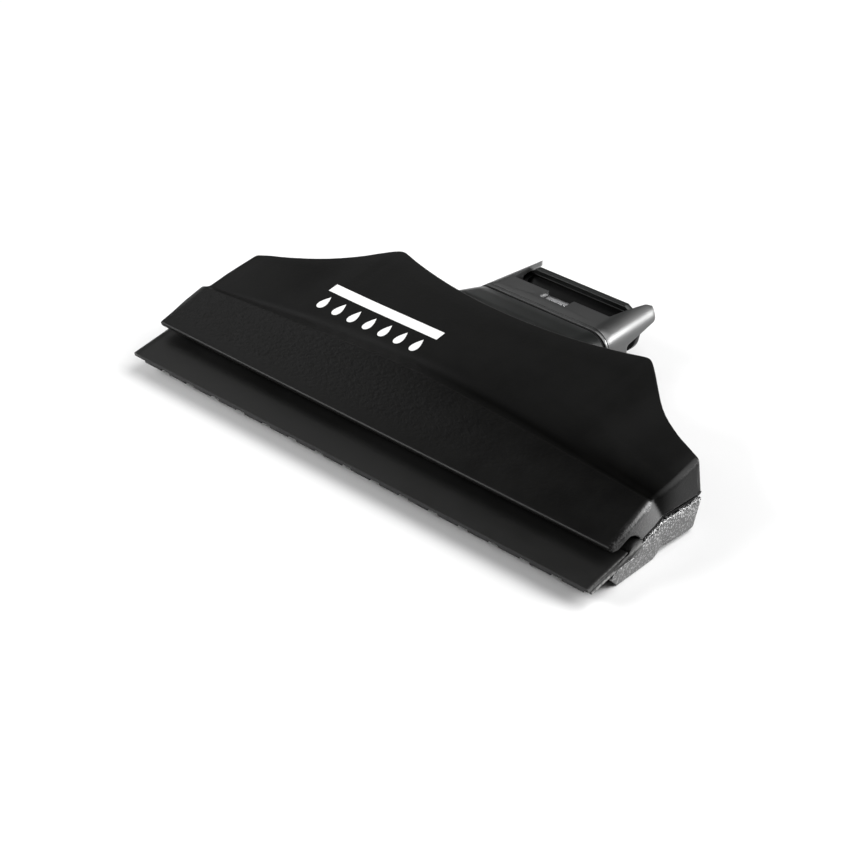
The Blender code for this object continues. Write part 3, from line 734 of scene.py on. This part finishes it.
def blade_body(name, corners, mat):
    """Blade swept along x, with stations close together where pads begin and end."""
    xs = [-BLADE_HALF + 0.08 * MM, BLADE_HALF - 0.08 * MM]
    for i in range(PAD_COUNT):
        centre = PAD_FIRST_X + i * PAD_PITCH
        for off in (-0.24, -0.18, -0.1, -0.04, 0.03):
            for side in (-1.0, 1.0):
                xs.append(centre + side * (PAD_WIDTH / 2.0 + off * MM))
        xs.append(centre)
        xs.append(centre + PAD_PITCH / 2.0)
    xs = sorted(x for x in set(round(x, 7) for x in xs) if abs(x) <= BLADE_HALF - 0.07 * MM)
    rings = [[(x, y, z) for y, z in fillet(corners(x), 4)] for x in xs]
    for side in (-1.0, 1.0):
        x = side * BLADE_HALF
        ring = [(x, y, z) for y, z in inset_outline(fillet(corners(x), 4), 0.06 * MM)]
        rings.append(ring) if side > 0 else rings.insert(0, ring)
    bm = bmesh.new()
    verts = skin_rings(bm, rings)
    for ring in (verts[0], verts[-1]):
        bmesh.ops.triangulate(bm, faces=[bm.faces.new(ring)], ngon_method="EAR_CLIP")
    return finish_mesh(name, bm, mat, 50.0)


# Inside of the head

def channel_insert(mat):
    bm = bmesh.new()
    outer = [channel_ring(*span, 0.0) for span in CHANNEL_SPANS]
    inner = [channel_ring(*span, 0.9 * MM) for span in CHANNEL_SPANS]
    skin_rings(bm, outer + inner[::-1], closed=True)
    piece(finish_mesh("air_funnel", bm, mat), "head", "channel_plastic", "channel_insert")


# Neck

def neck_sleeve(mat):
    step = NECK_WALL + GAP
    outer = [(NECK_FRONT_Y, 0.0), (66.0 * MM, 0.0), (NECK_KNEE_Y, 0.0), (73.0 * MM, 0.0),
             (78.0 * MM, 0.0), (81.7 * MM, 0.0), (81.95 * MM, 0.08 * MM), (SLEEVE_END_Y, 0.28 * MM),
             (SLEEVE_END_Y, step), (86.3 * MM, step), (SPIGOT_END_Y, step + 0.2 * MM)]
    inner = [(SPIGOT_END_Y, step + 1.2 * MM), (80.0 * MM, step + 1.4 * MM),
             (NECK_KNEE_Y, 1.5 * MM), (NECK_FRONT_Y, 1.5 * MM)]
    bm = bmesh.new()
    skin_rings(bm, [neck_ring(y, inset) for y, inset in outer + inner], closed=True)
    piece(finish_mesh("neck_front", bm, mat, 50.0), "head", "neck_plastic", "neck_sleeve")


def neck_gasket(mat):
    low = SLEEVE_END_Y + 0.08 * MM
    high = COLLAR_Y - 0.08 * MM
    section = [(low, 0.6 * MM), (low + 0.12 * MM, 0.48 * MM), (high - 0.12 * MM, 0.48 * MM),
               (high, 0.6 * MM), (high, NECK_WALL + 0.1 * MM), (low, NECK_WALL + 0.1 * MM)]
    bm = bmesh.new()
    skin_rings(bm, [neck_ring(y, inset) for y, inset in section], closed=True)
    piece(finish_mesh("neck_ring_seal", bm, mat), "head", "seal_rubber", "neck_gasket")


def neck_collar(mat):
    """Ring round the neck whose top corners run on as two ears beside a latch window."""
    line = 84.45 * MM
    outer = [(COLLAR_Y, 0.3 * MM), (COLLAR_Y + 0.1 * MM, 0.09 * MM), (COLLAR_Y + 0.35 * MM, 0.0),
             (line - 0.14 * MM, 0.0), (line - 0.09 * MM, 0.25 * MM), (line + 0.09 * MM, 0.25 * MM),
             (line + 0.14 * MM, 0.0)]
    outer += [(y * MM, 0.0) for y in (87.0, 90.0, 93.0, 96.0, 99.0, 102.0, 105.0, 107.6)]
    outer += [(DEPTH, 0.0)]
    inner = [(y, NECK_WALL) for y in (DEPTH, 105.0 * MM, 99.0 * MM, 93.0 * MM, 88.0 * MM, COLLAR_Y)]
    bm = bmesh.new()
    skin_rings(bm, [neck_ring(y, inset) for y, inset in outer + inner], closed=True)
    collar = finish_mesh("neck_latch", bm, mat)

    end = DEPTH + 1.0 * MM
    tip = EAR_TIP_X - 0.15 * MM
    corners = [(-EAR_FRONT_X, COLLAR_END_Y, 0.5 * MM), (EAR_FRONT_X, COLLAR_END_Y, 0.5 * MM),
               (tip, 107.9 * MM, 1.0 * MM), (tip + 1.6 * MM, end, 0.0),
               (-tip - 1.6 * MM, end, 0.0), (-tip, 107.9 * MM, 1.0 * MM)]
    bm = bmesh.new()
    prism(bm, fillet(corners), 0.0, 25.0 * MM, "z")
    cut(collar, bm)

    under = COLLAR_END_Y + 0.6 * MM
    corners = [(under, -2.0 * MM, 0.0), (under, 11.2 * MM, 1.2 * MM),
               (108.6 * MM, 12.9 * MM, 1.6 * MM), (109.9 * MM, 16.5 * MM, 0.0),
               (end, 16.5 * MM, 0.0), (end, -2.0 * MM, 0.0)]
    bm = bmesh.new()
    prism(bm, fillet(corners), -30.0 * MM, 30.0 * MM, "x")
    cut(collar, bm)

    corners = [(-NOTCH_HALF, NOTCH_Y, 0.25 * MM), (NOTCH_HALF, NOTCH_Y, 0.25 * MM),
               (NOTCH_HALF, COLLAR_END_Y + MM, 0.0), (-NOTCH_HALF, COLLAR_END_Y + MM, 0.0)]
    bm = bmesh.new()
    prism(bm, fillet(corners), 12.0 * MM, 22.0 * MM, "z")
    cut(collar, bm)

    bm = bmesh.new()
    for x, y in mirrored(COLLAR_SCREWS):
        rod(bm, x, y, 0.0, 4.6 * MM, SHANK_R + GAP)
    cut(collar, bm)
    soften(collar, 0.22 * MM)
    piece(collar, "head", "neck_plastic", "neck_collar")


def catch_plate(mat):
    top, half, slot_half = 17.15 * MM, 6.0 * MM, 2.85 * MM
    front, back = SPIGOT_END_Y + GAP, 93.5 * MM
    bm = bmesh.new()
    corners = [(-half, front, 0.3 * MM), (half, front, 0.3 * MM),
               (half, back, 0.6 * MM), (-half, back, 0.6 * MM)]
    prism(bm, fillet(corners), top - 0.8 * MM, top, "z")
    plate = finish_mesh("catch_leaf", bm, mat)
    corners = [(x, y, 0.15 * MM) for x, y in ((-slot_half, 91.0 * MM), (slot_half, 91.0 * MM),
                                              (slot_half, 91.45 * MM), (-slot_half, 91.45 * MM))]
    bm = bmesh.new()
    prism(bm, fillet(corners, 3), 15.0 * MM, 20.0 * MM, "z")
    cut(plate, bm)
    soften(plate, 0.06 * MM, 2)
    piece(plate, "head", "steel", "catch_plate")


def duct_ring(y, inset=0.0):
    """Outline of the duct: straight, then flaring into the rim at its mouth."""
    flare = smooth(91.0 * MM, RIM_Y[0] + 1.5 * MM, y) ** 1.4
    half = blend(DUCT_HALF, RIM_HALF - RIM_STEP, flare)
    top = blend(DUCT_TOP, RIM_TOP - RIM_STEP / 2.0, flare)
    bottom = blend(DUCT_BOTTOM, RIM_BOTTOM + RIM_STEP, flare)
    ring = rounded(y, half - inset, bottom + inset, top - inset,
                   4.7 * MM - inset, blend(3.5 * MM, 4.2 * MM, flare) - inset)
    return tapered(ring, flare)


def tapered(ring, share=1.0):
    """Ring whose sides lean in below the rim's waist."""
    lean = [share * RIM_TAPER * max(0.0, RIM_WAIST_Z - z) for x, y, z in ring]
    return [(x - math.copysign(min(d, abs(x)), x), y, z) for (x, y, z), d in zip(ring, lean)]


def rim_ring(y, inset=0.0):
    return tapered(rounded(y, RIM_HALF - inset, RIM_BOTTOM + inset, RIM_TOP - inset,
                           4.7 * MM - inset, 5.0 * MM - inset))


def flange_ring(y):
    return rounded(y, 24.0 * MM, 4.3 * MM, 19.6 * MM, 4.7 * MM, 3.5 * MM)


def air_duct(mat, bar_mat):
    flange = (64.0 * MM, 66.0 * MM)
    flare_ys = [y * MM for y in (90.5, 92.0, 93.5, 95.0, 96.5, 98.0, 99.2, 100.3, 101.0)]
    rings = [duct_ring(y) for y in (DUCT_FRONT_Y, flange[0])]
    rings += [flange_ring(y) for y in flange]
    rings += [duct_ring(y) for y in (flange[1], *flare_ys, RIM_Y[0])]
    edge = 0.35 * MM
    rings += [rim_ring(RIM_Y[0], edge), rim_ring(RIM_Y[0] + 0.1 * MM, 0.1 * MM),
              rim_ring(RIM_Y[0] + edge), rim_ring(RIM_Y[1] - edge),
              rim_ring(RIM_Y[1] - 0.1 * MM, 0.1 * MM), rim_ring(RIM_Y[1], edge)]
    inside = [duct_ring(y, DUCT_WALL) for y in (DUCT_FRONT_Y, *flare_ys, RIM_Y[1] - edge)]
    rings += [duct_ring(RIM_Y[1], DUCT_WALL - 0.3 * MM)] + inside[::-1]
    bm = bmesh.new()
    skin_rings(bm, rings, closed=True)
    piece(finish_mesh("suction_duct", bm, mat, 50.0), "head", "neck_plastic", "air_duct")
    right = [(CROSSBAR_HALF, 16.2 * MM, 0.0), (CROSSBAR_HALF, 17.2 * MM, 0.4 * MM),
             (CROSSBAR_HALF - 1.6 * MM, CROSSBAR_TOP, 0.8 * MM)]
    corners = right + [(-x, z, r) for x, z, r in reversed(right)]
    bm = bmesh.new()
    outline = fillet(corners)
    rings = []
    y0, y1 = RIM_Y[0] + 0.1 * MM, RIM_Y[1] - 0.1 * MM
    for y, inset in ((y0, 0.2), (y0 + 0.06 * MM, 0.06), (y0 + 0.2 * MM, 0.0),
                     (y1 - 0.2 * MM, 0.0), (y1 - 0.06 * MM, 0.06), (y1, 0.2)):
        rings.append([(x, y, z) for x, z in inset_outline(outline, inset * MM)])
    verts = skin_rings(bm, rings)
    for ring in (verts[0], verts[-1]):
        bm.faces.new(ring)
    bar = finish_mesh("duct_crossbar", bm, bar_mat, 50.0)
    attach(bar, "head")


def port_seal(mat):
    section = [(96.0, 0.0), (97.5, 0.0), (99.5, 0.0), (99.5, 0.55), (98.6, 0.8), (97.2, 0.8),
               (96.2, 0.55)]
    bm = bmesh.new()
    rings = [duct_ring(y * MM, DUCT_WALL + GAP / 2.0 + inset * MM) for y, inset in section]
    skin_rings(bm, rings, closed=True)
    piece(finish_mesh("mouth_seal", bm, mat), "head", "seal_rubber", "port_seal")


def screw(name, node, x, y, z, length, mat):
    """Pan-head screw, head down at z, with a hexagon socket and a threaded shank."""
    sides = 48

    def ring(dz, radius, hexagon=False):
        points = []
        for i in range(sides):
            turn = 2.0 * math.pi * i / sides
            r = radius
            if hexagon:
                r *= math.cos(math.pi / 6.0) / math.cos(turn % (math.pi / 3.0) - math.pi / 6.0)
            points.append((x + r * math.cos(turn), y + r * math.sin(turn), z + dz * MM))
        return points

    socket = 0.9 * MM
    head = HEAD_H / MM
    hollow = ((0.8, 0.96), (0.06, 1.0), (0.0, 1.05))
    dome = ((0.0, 0.62), (0.04, 0.78), (0.16, 0.92), (0.38, 1.0), (head - 0.06, 1.0), (head, 0.97))
    rings = [ring(dz, socket * share, True) for dz, share in hollow]
    rings += [ring(dz, HEAD_R * share) for dz, share in dome]
    rings += [ring(head, SHANK_R * 0.86)]
    dz = head + 0.3
    while dz < length / MM - 1.2:
        rings += [ring(dz, SHANK_R * 0.84), ring(dz + 0.14, SHANK_R), ring(dz + 0.2, SHANK_R),
                  ring(dz + 0.34, SHANK_R * 0.84)]
        dz += 0.6
    rings += [ring(length / MM - 0.7, SHANK_R * 0.7), ring(length / MM, SHANK_R * 0.15)]
    bm = bmesh.new()
    capped_rings(bm, rings)
    piece(finish_mesh(name, bm, mat, 50.0), "head", "steel", node)


def screws(mat):
    for i, (x, y) in enumerate(mirrored(SHELL_SCREWS), 1):
        screw(f"case_screw_{i}", f"shell_screw_{i}", x, y, 1.4 * MM, 12.0 * MM, mat)
    for i, (x, y) in enumerate(mirrored(COLLAR_SCREWS), 1):
        z = NECK_BOTTOM - HEAD_H - 0.05 * MM
        screw(f"neck_screw_{i}", f"collar_screw_{i}", x, y, z, 4.4 * MM, mat)


# Print on the top: a plain bar over a row of water drops

BAR_X = (-51.0 * MM, -8.3 * MM)
BAR_Y = (47.3 * MM, 50.9 * MM)
DROP_COUNT = 7
DROP_Y = 42.4 * MM
DROP_SIZE = 2.3 * MM
DROP_SIDES = 28
BAR_STEPS = 16
FILM = (-0.02 * MM, 0.035 * MM)


def print_mark(mat):
    bm = bmesh.new()

    def sheet(outline):
        """Thin raised film over an outline in x and y that follows the top."""
        low, high = ([bm.verts.new((x, y, body_z(x, y) + level)) for x, y in outline]
                     for level in FILM)
        for i in range(len(outline)):
            j = (i + 1) % len(outline)
            bm.faces.new((low[i], low[j], high[j], high[i]))
        bm.faces.new(high)

    for outline in print_outlines():
        sheet(outline)
    obj = finish_mesh("top_print", bm, mat, 30.0)
    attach(obj, "head")


def print_outlines():
    """The bar in short lengths, so that it follows the top, then the drops."""
    xs = [blend(*BAR_X, i / BAR_STEPS) for i in range(BAR_STEPS + 1)]
    for x0, x1 in zip(xs, xs[1:]):
        yield [(x0, BAR_Y[0]), (x1, BAR_Y[0]), (x1, BAR_Y[1]), (x0, BAR_Y[1])]
    for i in range(DROP_COUNT):
        centre = blend(*BAR_X, (i + 0.5) / DROP_COUNT)
        turns = [2.0 * math.pi * k / DROP_SIDES for k in range(DROP_SIDES)]
        yield [(centre + 0.78 * DROP_SIZE * math.sin(t) * math.sin(t / 2.0) ** 1.2,
                DROP_Y + 1.25 * DROP_SIZE * math.cos(t)) for t in turns]


# Materials

class Nodes:
    """Short-hand for building a material's nodes; place is the point in the piece's metres."""

    def __init__(self, name):
        self.material = bpy.data.materials.new(name)
        self.material.use_nodes = True
        self.tree = self.material.node_tree
        self.shader = self.tree.nodes["Principled BSDF"]
        coords = self.tree.nodes.new("ShaderNodeTexCoord")
        self.place = coords.outputs["Object"]

    def link(self, value, socket):
        if isinstance(value, (int, float)):
            socket.default_value = value
        elif isinstance(value, tuple):
            socket.default_value = (*value, 1.0)
        else:
            self.tree.links.new(value, socket)

    def stretched(self, factors):
        node = self.tree.nodes.new("ShaderNodeMapping")
        node.inputs["Scale"].default_value = factors
        self.tree.links.new(self.place, node.inputs["Vector"])
        return node.outputs["Vector"]

    def noise(self, size, detail=2.0, rough=0.5, place=None, distortion=0.0):
        """Noise whose features are about size metres across."""
        node = self.tree.nodes.new("ShaderNodeTexNoise")
        self.tree.links.new(place or self.place, node.inputs["Vector"])
        node.inputs["Scale"].default_value = 1.0 / size
        node.inputs["Detail"].default_value = detail
        node.inputs["Roughness"].default_value = rough
        node.inputs["Distortion"].default_value = distortion
        return node.outputs["Fac"]

    def along(self, axis):
        node = self.tree.nodes.new("ShaderNodeSeparateXYZ")
        self.tree.links.new(self.place, node.inputs["Vector"])
        return node.outputs[axis]

    def spread(self, value, low, high, to_low=0.0, to_high=1.0):
        node = self.tree.nodes.new("ShaderNodeMapRange")
        node.interpolation_type = "SMOOTHSTEP"
        self.link(value, node.inputs["Value"])
        node.inputs["From Min"].default_value = low
        node.inputs["From Max"].default_value = high
        node.inputs["To Min"].default_value = to_low
        node.inputs["To Max"].default_value = to_high
        return node.outputs["Result"]

    def math(self, operation, a, b):
        node = self.tree.nodes.new("ShaderNodeMath")
        node.operation = operation
        self.link(a, node.inputs[0])
        self.link(b, node.inputs[1])
        return node.outputs["Value"]

    def mix(self, factor, a, b):
        node = self.tree.nodes.new("ShaderNodeMix")
        node.data_type = "RGBA"
        self.link(factor, node.inputs["Factor"])
        self.link(a, node.inputs["A"])
        self.link(b, node.inputs["B"])
        return node.outputs["Result"]

    def bump(self, height, depth, below=None):
        """Bump of the given depth in metres, over an earlier bump if there is one."""
        node = self.tree.nodes.new("ShaderNodeBump")
        node.inputs["Distance"].default_value = depth
        node.inputs["Strength"].default_value = 1.0
        self.link(height, node.inputs["Height"])
        if below:
            self.tree.links.new(below, node.inputs["Normal"])
        return node.outputs["Normal"]

    def edges(self, low, high):
        """1 on convex edges, 0 elsewhere."""
        geometry = self.tree.nodes.new("ShaderNodeNewGeometry")
        return self.spread(geometry.outputs["Pointiness"], low, high)

    def attribute(self, name):
        node = self.tree.nodes.new("ShaderNodeAttribute")
        node.attribute_name = name
        return node.outputs["Fac"]

    def normal(self, value):
        self.tree.links.new(value, self.shader.inputs["Normal"])


def shell_plastic():
    n = Nodes("eroded_black_plastic")
    grain = n.noise(0.4 * MM, 3.0, 0.6)
    hide = n.noise(0.9 * MM, 2.0, 0.45, n.stretched((0.7, 1.0, 1.0)), 0.5)
    pits = n.noise(0.5 * MM, 1.0, 0.5)
    normal = n.bump(grain, 0.016 * MM)
    normal = n.bump(n.math("MULTIPLY", hide, n.attribute("leather")), 0.2 * MM, normal)
    normal = n.bump(n.math("MULTIPLY", pits, n.attribute("coarse_and_sparkle")), 0.5 * MM, normal)
    n.normal(normal)
    dust = n.noise(9.0 * MM, 4.0, 0.6)
    colour = n.mix(n.spread(dust, 0.35, 0.7), (0.0011, 0.0011, 0.001), (0.0016, 0.0016, 0.0014))
    worn = n.math("MULTIPLY", n.edges(0.53, 0.62), n.spread(n.noise(1.6 * MM, 3.0), 0.45, 0.7))
    colour = n.mix(n.math("MULTIPLY", worn, 0.5), colour, (0.01, 0.01, 0.01))
    coarse_and_sparkle = n.attribute("coarse_and_sparkle")
    # Painted highlight: light grey flecks on the pits of the coarse end faces stand in for light
    # sparkling on their grain
    painted_sparkle = n.math("MULTIPLY", n.spread(pits, 0.53, 0.64), n.spread(coarse_and_sparkle, 0.1, 1.0))
    colour = n.mix(painted_sparkle, colour, (0.6, 0.6, 0.6))
    rough = n.math("ADD", n.spread(dust, 0.3, 0.7, 0.33, 0.38), n.math("MULTIPLY", grain, 0.04))
    rough = n.math("MULTIPLY", rough, n.spread(coarse_and_sparkle, 0.2, 1.0, 1.0, 0.7))
    n.link(colour, n.shader.inputs["Base Color"])
    n.link(rough, n.shader.inputs["Roughness"])
    n.shader.inputs["IOR"].default_value = 1.8
    # Shine from the gloss mask, which also holds painted shade in the hollow behind the ridge and a
    # painted highlight near the end's crease
    shine = n.math("ADD", 0.1, n.math("MULTIPLY", n.attribute("gloss"), 0.9))
    n.link(n.math("MAXIMUM", shine, 0.01), n.shader.inputs["Specular IOR Level"])
    return n.material


def neck_plastic(name, low, high, gloss):
    n = Nodes(name)
    flow = n.noise(11.0 * MM, 2.0, 0.4, n.stretched((1.0, 0.5, 1.0)))
    grain = n.noise(0.25 * MM, 2.0)
    n.normal(n.bump(grain, 0.004 * MM, n.bump(flow, 0.012 * MM)))
    colour = n.mix(n.spread(flow, 0.3, 0.7), low, high)
    worn = n.math("MULTIPLY", n.edges(0.54, 0.64), n.spread(n.noise(1.2 * MM, 3.0), 0.4, 0.7))
    colour = n.mix(n.math("MULTIPLY", worn, 0.4), colour, (0.05, 0.05, 0.05))
    n.link(colour, n.shader.inputs["Base Color"])
    n.link(n.spread(flow, 0.3, 0.7, 0.31, 0.38), n.shader.inputs["Roughness"])
    n.shader.inputs["Specular IOR Level"].default_value = gloss
    return n.material


def channel_plastic():
    n = Nodes("plain_grey_plastic")
    cloud = n.noise(4.0 * MM, 3.0)
    n.normal(n.bump(n.noise(0.4 * MM, 2.0), 0.01 * MM))
    n.link(n.mix(cloud, (0.02, 0.02, 0.021), (0.03, 0.03, 0.031)), n.shader.inputs["Base Color"])
    n.link(n.spread(cloud, 0.3, 0.7, 0.45, 0.6), n.shader.inputs["Roughness"])
    return n.material


def blade_rubber():
    n = Nodes("satin_charcoal_rubber")
    bloom = n.noise(14.0 * MM, 4.0, 0.6, n.stretched((0.5, 1.0, 1.0)))
    fine = n.noise(0.18 * MM, 2.0, 0.5, n.stretched((0.3, 1.0, 1.0)))
    n.normal(n.bump(fine, 0.006 * MM))
    colour = n.mix(n.spread(bloom, 0.3, 0.7), (0.0055, 0.0055, 0.0052), (0.0075, 0.0075, 0.0072))
    # Light grey only at the lip and the ends, partly rubbed wear and partly a painted highlight for
    # the glint along the lip's edges: pointiness alone spreads over the blade's large faces
    lip = n.spread(n.along("Y"), FRONT + 0.7 * MM, FRONT + 1.5 * MM, 1.0, 0.0)
    across = n.math("ABSOLUTE", n.along("X"), 0.0)
    ends = n.spread(across, BLADE_HALF - 0.8 * MM, BLADE_HALF - 0.2 * MM)
    worn = n.math("MULTIPLY", n.edges(0.54, 0.6), n.spread(n.noise(0.9 * MM, 3.0), 0.2, 0.6))
    worn = n.math("MULTIPLY", worn, n.math("MAXIMUM", lip, ends))
    # Painted highlight, partly wear: light grey on the edges of the lip and the ends
    colour = n.mix(worn, colour, (0.3, 0.3, 0.295))
    n.link(colour, n.shader.inputs["Base Color"])
    n.link(n.spread(bloom, 0.3, 0.7, 0.42, 0.5), n.shader.inputs["Roughness"])
    n.shader.inputs["Specular IOR Level"].default_value = 0.3
    return n.material


def seal_rubber():
    n = Nodes("matt_black_rubber")
    cloud = n.noise(3.0 * MM, 3.0)
    n.normal(n.bump(n.noise(0.2 * MM, 2.0), 0.01 * MM))
    colour = n.mix(cloud, (0.002, 0.002, 0.002), (0.004, 0.004, 0.004))
    n.link(colour, n.shader.inputs["Base Color"])
    n.shader.inputs["Specular IOR Level"].default_value = 0.2
    n.link(n.spread(cloud, 0.3, 0.7, 0.6, 0.75), n.shader.inputs["Roughness"])
    return n.material


def steel():
    n = Nodes("bright_steel")
    n.shader.inputs["Metallic"].default_value = 1.0
    lines = n.noise(0.3 * MM, 2.0, 0.5, n.stretched((0.05, 1.0, 1.0)))
    cloud = n.noise(2.5 * MM, 3.0)
    n.normal(n.bump(lines, 0.0015 * MM))
    n.link(n.mix(cloud, (0.55, 0.55, 0.56), (0.68, 0.68, 0.69)), n.shader.inputs["Base Color"])
    n.link(n.spread(cloud, 0.3, 0.7, 0.22, 0.36), n.shader.inputs["Roughness"])
    return n.material


def white_print():
    n = Nodes("white_ink")
    cloud = n.noise(2.0 * MM, 4.0)
    n.normal(n.bump(n.noise(0.3 * MM, 2.0), 0.008 * MM))
    n.link(n.mix(cloud, (0.82, 0.82, 0.81), (0.9, 0.9, 0.89)), n.shader.inputs["Base Color"])
    n.link(n.spread(cloud, 0.3, 0.7, 0.45, 0.6), n.shader.inputs["Roughness"])
    return n.material


def floor_material():
    n = Nodes("pale_floor")
    cloud = n.noise(0.4, 3.0)
    n.link(n.mix(cloud, (0.86, 0.86, 0.86), (0.88, 0.88, 0.88)), n.shader.inputs["Base Color"])
    n.shader.inputs["Roughness"].default_value = 0.9
    n.shader.inputs["Specular IOR Level"].default_value = 0.1
    return n.material


def add_texture_masks(obj):
    """Vertex values: where the moulding is leathery, where it is coarse and how strong its painted
    sparkle is, and how it shines, with painted shade in the hollow behind the ridge and a painted
    highlight near the end's crease.
    """
    mesh = obj.data
    leather = mesh.attributes.new("leather", "FLOAT", "POINT")
    coarse_and_sparkle = mesh.attributes.new("coarse_and_sparkle", "FLOAT", "POINT")
    gloss = mesh.attributes.new("gloss", "FLOAT", "POINT")
    for i, vert in enumerate(mesh.vertices):
        x, y, z = vert.co.x, vert.co.y - FRONT, vert.co.z
        on_ridge = 1.0 - smooth(-1.0 * MM, 1.5 * MM, y - ridge_back_y(x))
        to_left = smooth(-85.0 * MM, 60.0 * MM, -x)
        leather.data[i].value = (blend(0.1, 1.0, on_ridge) * blend(0.35, 1.0, to_left)
                                 * smooth(10.5 * MM, 14.0 * MM, y))
        low = 1.0 - smooth(-0.5 * MM, 0.5 * MM, z - split_z(y))
        end = smooth(HEAD_HALF - 2.6 * MM, HEAD_HALF - 1.2 * MM, abs(x))
        front = 1.0 - smooth(-1.5 * MM, 0.5 * MM, y - arris_y(z))
        height = smooth(3.0 * MM, 12.0 * MM, z)
        # Painted shade: the hollow behind the ridge gets less shine on its right half, a dark band
        # painted in; painted highlight: the top shell's end shines more towards the crease
        behind = y - ridge_back_y(x)
        painted_dark_band = (smooth(-1.5 * MM, 1.5 * MM, behind) * (1.0 - smooth(4.0 * MM, 13.0 * MM, behind))
               * smooth(-35.0 * MM, 25.0 * MM, x))
        # The coarse mask also sets how strong the painted sparkle is: on the lower ends stronger
        # towards the seam and weaker towards the bottom, on the top shell's ends stronger on the
        # front facet
        coarse_and_sparkle.data[i].value = end * blend(blend(0.06, 0.22, front), blend(0.45, 1.0, height), low)
        gloss.data[i].value = end * max(low, front * smooth(13.0 * MM, 30.0 * MM, y)) - 0.1 * painted_dark_band


# Scene

def look_from(obj, at, target):
    obj.location = at
    obj.rotation_euler = (Vector(target) - Vector(at)).to_track_quat("-Z", "Y").to_euler()


def area_light(name, at, target, size, power):
    data = bpy.data.lights.new(name, "AREA")
    data.shape = "RECTANGLE"
    data.size = size[0]
    data.size_y = size[1]
    data.energy = power
    obj = bpy.data.objects.new(name, data)
    bpy.context.scene.collection.objects.link(obj)
    look_from(obj, at, target)


def lights():
    middle = (0.0, 0.0, 0.01)
    area_light("overhead", (0.55, 0.4, 1.0), middle, (1.2, 1.2), 18.0)
    area_light("from_left", (-0.37, 0.04, 0.345), middle, (0.2, 0.2), 0.16)
    area_light("from_front_left", (-0.45, -0.5, 0.45), middle, (0.5, 0.3), 4.6)
    area_light("from_back_left", (-0.5, 0.6, 0.5), middle, (0.3, 0.3), 0.15)
    area_light("from_side", (-0.65, 0.45, 0.45), middle, (0.3, 0.3), 0.12)
    area_light("from_back_right", (0.43, 0.58, 0.17), middle, (0.3, 0.15), 3.8)
    world = bpy.data.worlds.new("studio")
    world.use_nodes = True
    background = world.node_tree.nodes["Background"]
    background.inputs["Color"].default_value = (1.0, 1.0, 1.0, 1.0)
    background.inputs["Strength"].default_value = 0.04
    bpy.context.scene.world = world


def floor():
    bm = bmesh.new()
    bmesh.ops.create_grid(bm, x_segments=8, y_segments=8, size=4.0)
    mesh = bpy.data.meshes.new("floor")
    bm.to_mesh(mesh)
    bm.free()
    mesh.materials.append(floor_material())
    obj = bpy.data.objects.new("floor", mesh)
    obj.location.z = CAD_BOX[0][2] - FLOOR_GAP
    bpy.context.scene.collection.objects.link(obj)


def camera():
    data = bpy.data.cameras.new("camera")
    data.lens = CAMERA_LENS
    data.sensor_width = 36.0
    data.clip_start = 0.01
    obj = bpy.data.objects.new("camera", data)
    bpy.context.scene.collection.objects.link(obj)
    turn = Matrix.Rotation(CAMERA_TURN, 4, "Z")
    tilt = Matrix.Rotation(math.pi / 2.0 - CAMERA_TILT, 4, "X")
    obj.matrix_world = Matrix.Translation(CAMERA_AT) @ turn @ tilt
    bpy.context.scene.camera = obj


def main():
    shell = shell_plastic()
    collar = neck_plastic("polished_dark_plastic",
                          (0.017, 0.0174, 0.0172), (0.023, 0.0234, 0.0232), 0.9)
    sleeve = neck_plastic("satin_dark_plastic",
                          (0.006, 0.0068, 0.0064), (0.009, 0.0098, 0.0094), 0.35)
    duct = neck_plastic("matt_black_plastic",
                        (0.0012, 0.0012, 0.0012), (0.002, 0.002, 0.002), 0.12)
    rubber = blade_rubber()
    seal = seal_rubber()
    metal = steel()
    upper_shell(shell)
    lower_shell(shell)
    for name in ("shell_top", "shell_bottom"):
        add_texture_masks(bpy.data.objects[name])
    seam_seals(seal)
    upper_blade(rubber)
    lower_blade(rubber)
    channel_insert(channel_plastic())
    neck_sleeve(sleeve)
    neck_gasket(seal)
    neck_collar(collar)
    catch_plate(metal)
    air_duct(duct, sleeve)
    port_seal(seal)
    screws(metal)
    print_mark(white_print())
    floor()
    lights()
    camera()
    bpy.context.scene.view_settings.view_transform = "Standard"


main()
